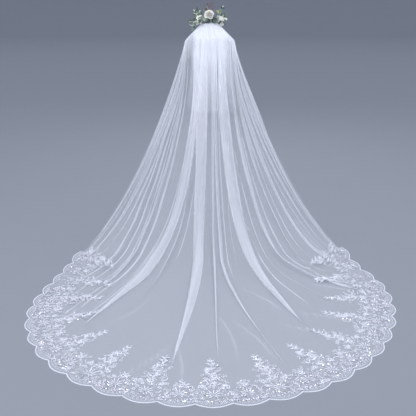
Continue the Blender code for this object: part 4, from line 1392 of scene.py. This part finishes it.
def sprig_stem(row):
    """A sprig's stem, straight out and sagging by a square, as its solid runs: its line, the
    way ahead at each point, and its bar."""
    direction = unit(row["direction"])
    share = np.linspace(0.0, 1.0, 24)
    sag = np.array([0.0, 0.0, -0.5]) * (row["droop"] * row["length"] * share**2)[:, None]
    straight = stem_foot(row["along"], direction) + direction * (row["length"] * share)[:, None]
    line = straight + sag
    bar = tube(line, np.linspace(STEM_RADIUS, STEM_RADIUS * 0.5, len(line)), 6)
    return line, unit(np.gradient(line, axis=0)), bar


def toned(parts, tones):
    """Each part's tone, for each of its points."""
    return {"tone": np.concatenate([np.full(len(p[0]), tone) for p, tone in zip(parts, tones)])}


def make_sprigs(settings):
    """The leafy sprigs: pairs of small leaves along each stem, turned about it by turns, and
    one at the tip."""
    stuff = leaf_material(settings.leaf)
    draw = np.random.default_rng(5)
    for row in SPRIGS:
        line, ahead, bar = sprig_stem(row)
        parts = [bar]
        for share in 0.14 + 0.84 * np.arange(row["pairs"] * 3) / (row["pairs"] * 3):
            at = int(share * (len(line) - 1))
            face = unit(np.array([0.0, -1.0, 0.25]) + draw.normal(0, 0.5, 3))
            side = unit(np.cross(ahead[at], face))
            size = row["leaf"] * (1.75 - 0.6 * share) * draw.uniform(0.8, 1.2)
            for hand in (-1, 1):
                way = ahead[at] * 0.6 + side * hand + face * draw.uniform(-0.1, 0.5)
                parts.append(leaf_blade(line[at], way, face, size, size * 0.48))
        tip_face = np.array([0.0, -1.0, 0.2])
        size = row["leaf"]
        parts.append(leaf_blade(line[-2], ahead[-1], tip_face, size * 1.4, size * 0.6))
        tones = toned(parts, draw.choice(LEAF_TONES, len(parts)))
        sprig = make_piece(row["name"] + "_leaves", joined(parts), stuff, tones)
        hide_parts(row["name"])


def make_filler(settings):
    """Small clusters that fill the spray: short stems from the wire, each with five small
    leaves or white petals about its tip; those under the rose lie close and hide the wire."""
    draw = np.random.default_rng(17)
    leaves, tones, petals = [], [], []
    for number in range(FILLERS):
        along = FILLER_START + FILLER_SPAN * (number + draw.uniform(0, 1)) / FILLERS
        kind = FILLER_CLOSE if abs(along) < FILLER_NEAR else FILLER_OPEN
        rise = draw.uniform(*kind["rise"])
        way = unit(np.array([along * 3.5, -0.75, rise]) + draw.normal(0, 0.2, 3))
        foot = stem_foot(along, way)
        tip = foot + way * draw.uniform(*kind["length"])
        leaves.append(tube(np.linspace(foot, tip, 4), 0.0006, 5))
        tones.append(0.2)
        white = number % 2 == 0 and kind is FILLER_OPEN
        tone = draw.choice(LEAF_TONES)
        axes = flower_axes(way)
        for turn in np.arange(5) * 2 * np.pi / 5 + draw.uniform(0, 1):
            out = axes[0] * math.cos(turn) + axes[1] * math.sin(turn) + way * 0.7
            least, most, width = FILLER_PETAL if white else FILLER_LEAF
            size = draw.uniform(least, most)
            part = leaf_blade(tip, out, way, size, size * width)
            if white:
                petals.append(part)
            else:
                leaves.append(part)
                tones.append(tone)
    green, marks = leaf_material(settings.leaf), toned(leaves, tones)
    make_piece("filler_leaves", joined(leaves), green, marks)
    white_silk = petal_material("silk_petal_filler", settings.petal, linear("E4E8DA"))
    make_piece("filler_petals", joined(petals), white_silk)


def make_twig(settings):
    """The dark red twig: a thin stem with short side stems, each ending in a berry."""
    line, ahead, bar = sprig_stem(TWIG)
    draw = np.random.default_rng(9)
    parts = [bar]
    for number in range(BERRIES):
        at = 11 + number * 12 // BERRIES
        hand = 1 if number % 2 else -1
        way = unit(ahead[at] * 0.7 + np.array([hand, 0, 0]) + draw.normal(0, 0.25, 3))
        tip = line[at] + way * draw.uniform(0.014, 0.034)
        berry = bead(tip, draw.uniform(0.0026, 0.0038))
        parts += [tube(np.linspace(line[at], tip, 4), 0.0005, 5), berry]
    parts.append(bead(line[-1], 0.0030))
    stuff = speckled_material(
        "berry_lacquered_foam", settings.berry, 0.32, 0.0015, 0.25, 0.0001,
        Coat_Weight=0.4, Coat_Roughness=0.15,
    )
    twig = make_piece("twig_berries_red", joined(parts), stuff)
    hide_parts("twig_berries")


def dress_node(name, stuff):
    """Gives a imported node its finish."""
    node = bpy.data.objects[name]
    node.data.materials.clear()
    node.data.materials.append(stuff)


# ---- The stage ----


def area_light(name, place, aim, size, power, colour):
    """A soft square lamp at place that faces aim and isn't seen itself."""
    lamp = bpy.data.lights.new(name, "AREA")
    lamp.size, lamp.energy, lamp.color = size, power, colour
    made = bpy.data.objects.new(name, lamp)
    made.location = place
    x, y, z = np.subtract(aim, place)
    made.rotation_euler = (math.atan2(math.hypot(x, y), -z), 0.0, math.atan2(-x, y))
    made.visible_camera = False
    bpy.context.scene.collection.objects.link(made)


def make_floor(settings):
    """The floor and its backdrop, a dish: flat, then a quarter circle up to an upright wall,
    turned about +Z round the train's middle."""
    rise = np.linspace(0, np.pi / 2, 14)
    radius = np.concatenate([[0.0, 2.0, 5.0, 12.0], 30.0 + 10.0 * np.sin(rise), [40.0]])
    height = np.concatenate([[0.0] * 4, 10.0 * (1 - np.cos(rise)), [16.0]])
    turn = 2 * np.pi * np.arange(96) / 96
    radius, height = radius[:, None], height[:, None] + FLOOR_Z
    points = stacked(radius * np.cos(turn), radius * np.sin(turn) - 1.2, height)
    mesh = bpy.data.meshes.new("studio_floor")
    faces = grid_faces(*points.shape[:2], closed=True)
    mesh.from_pydata(points.reshape(-1, 3).tolist(), [], faces.tolist())
    mesh.shade_smooth()
    # Studio vinyl, calendered: even and matt, with a barely visible mottle.
    stuff = speckled_material("studio_vinyl_matt", settings.floor, 0.8, 0.4, 0.02, 0.0)
    mesh.materials.append(stuff)
    floor = bpy.data.objects.new("studio_floor", mesh)
    bpy.context.scene.collection.objects.link(floor)


# ---- Operators ----


class VEIL_OT_long_tier(bpy.types.Operator):
    """Makes the long tier with its train, from the comb to the hem"""

    bl_idname = "veil.long_tier"
    bl_label = "Long tier"

    def execute(self, context):
        make_long_tier(context.scene.veil.tulle)
        return {"FINISHED"}


class VEIL_OT_short_tier(bpy.types.Operator):
    """Makes the short tier over the long one"""

    bl_idname = "veil.short_tier"
    bl_label = "Short tier"

    def execute(self, context):
        short = make_short_tier(context.scene.veil.tulle)
        return {"FINISHED"}


class VEIL_OT_border(bpy.types.Operator):
    bl_idname = "veil.border"
    bl_label = "Lace border"

    def execute(self, context):
        settings = context.scene.veil.lace
        on_it = [*make_lace(settings), make_sequins(settings), make_hem_cord(settings)]
        return {"FINISHED"}


class VEIL_OT_comb(bpy.types.Operator):
    """Finishes the comb, the gather band and the flowers' taped wire"""

    bl_idname = "veil.comb"
    bl_label = "Comb, band and wire"

    def execute(self, context):
        # Plated steel wire comb, drawn and bent: bright, with faint draw lines.
        comb = ribbed_material(
            "comb_plated_steel", linear("C9C9CE"), 0.22, 0.0008, "Z", 0.12, Metallic=1.0
        )
        # Polyester satin ribbon, woven: fine ribs across it and a soft gloss.
        band = ribbed_material(
            "ribbon_polyester_satin", linear("F2F2F8"), 0.34, 0.0009, "X", 0.10, Sheen_Weight=0.3
        )
        # Crepe paper tape, waxed and wound: dull green with a crinkled grain.
        tape = speckled_material(
            "floral_tape_crepe", linear("4A5F3A"), 0.75, 0.0015, 0.3, 0.0003
        )
        for name, stuff in (("comb", comb), ("gather_band", band), ("flower_wire", tape)):
            dress_node(name, stuff)
        return {"FINISHED"}


class VEIL_OT_rose(bpy.types.Operator):
    """Makes the open rose"""

    bl_idname = "veil.rose"
    bl_label = "Rose"

    def execute(self, context):
        make_rose(context.scene.veil.flowers)
        return {"FINISHED"}


class VEIL_OT_blossoms(bpy.types.Operator):
    """Makes the small blossoms, the bud and the stems"""

    bl_idname = "veil.blossoms"
    bl_label = "Blossoms and bud"

    def execute(self, context):
        make_blossoms(context.scene.veil.flowers)
        make_stems()
        return {"FINISHED"}


class VEIL_OT_sprigs(bpy.types.Operator):
    """Makes the leafy sprigs, the small filling clusters and the twig of berries"""

    bl_idname = "veil.sprigs"
    bl_label = "Sprigs and twig"

    def execute(self, context):
        make_sprigs(context.scene.veil.flowers)
        make_filler(context.scene.veil.flowers)
        make_twig(context.scene.veil.flowers)
        return {"FINISHED"}


class VEIL_OT_stage(bpy.types.Operator):
    """Makes the floor with its curved backdrop, the lamps and the camera"""

    bl_idname = "veil.stage"
    bl_label = "Stage"

    def execute(self, context):
        scene, settings = context.scene, context.scene.veil.stage
        make_floor(settings)
        area_light("key_left", (-3.2, -4.2, 3.0), (0, -1.2, -1.0), 2.0, 135, (1.0, 0.99, 0.98))
        area_light("fill_right", (4.0, -3.4, 2.2), (0, -1.0, -0.8), 2.2, 75, (0.93, 0.96, 1.0))
        area_light("rim_back", (0.6, 3.6, 3.2), (0, -0.9, -0.6), 2.0, 75, (0.95, 0.97, 1.0))
        scene.world = bpy.data.worlds.new("studio_air")
        scene.world.use_nodes = True
        air = scene.world.node_tree.nodes["Background"]
        air.inputs["Color"].default_value = (0.80, 0.86, 1.0, 1.0)
        air.inputs["Strength"].default_value = 1.10

        lens = bpy.data.cameras.new("camera")
        lens.lens, lens.sensor_width, lens.clip_end = settings.lens, 36.0, 100.0
        camera = bpy.data.objects.new("camera", lens)
        camera.location = (settings.aside, -settings.distance, settings.height + FLOOR_Z)
        camera.rotation_euler = (math.pi / 2 - settings.pitch, 0.0, 0.0)
        scene.collection.objects.link(camera)
        scene.camera = camera
        scene.view_settings.view_transform = "Standard"
        scene.cycles.transparent_max_bounces = 24
        return {"FINISHED"}


class VEIL_PT_panel(bpy.types.Panel):
    """Lists the veil's pieces and what may be changed on them"""

    bl_label = "Bridal veil"
    bl_idname = "VEIL_PT_panel"
    bl_space_type = "VIEW_3D"
    bl_region_type = "UI"
    bl_category = "Veil"

    def draw(self, context):
        settings = context.scene.veil
        for part in (settings.tulle, settings.lace, settings.flowers, settings.stage):
            box = self.layout.box()
            for word in part.__annotations__:
                box.prop(part, word)
        for operator in OPERATORS:
            self.layout.operator(operator.bl_idname)


OPERATORS = (
    VEIL_OT_stage, VEIL_OT_long_tier, VEIL_OT_short_tier, VEIL_OT_border, VEIL_OT_comb,
    VEIL_OT_rose, VEIL_OT_blossoms, VEIL_OT_sprigs,
)
GROUPS = (VeilTulle, VeilLace, VeilFlowers, VeilStage, VeilSettings)
CLASSES = (*GROUPS, *OPERATORS, VEIL_PT_panel)


def register():
    for one in CLASSES:
        bpy.utils.register_class(one)
    bpy.types.Scene.veil = PointerProperty(type=VeilSettings)


def unregister():
    del bpy.types.Scene.veil
    for one in reversed(CLASSES):
        bpy.utils.unregister_class(one)


def main():
    register()
    bpy.ops.veil.stage()
    bpy.ops.veil.long_tier()
    bpy.ops.veil.short_tier()
    bpy.ops.veil.border()
    bpy.ops.veil.comb()
    bpy.ops.veil.rose()
    bpy.ops.veil.blossoms()
    bpy.ops.veil.sprigs()


if __name__ == "__main__":
    main()
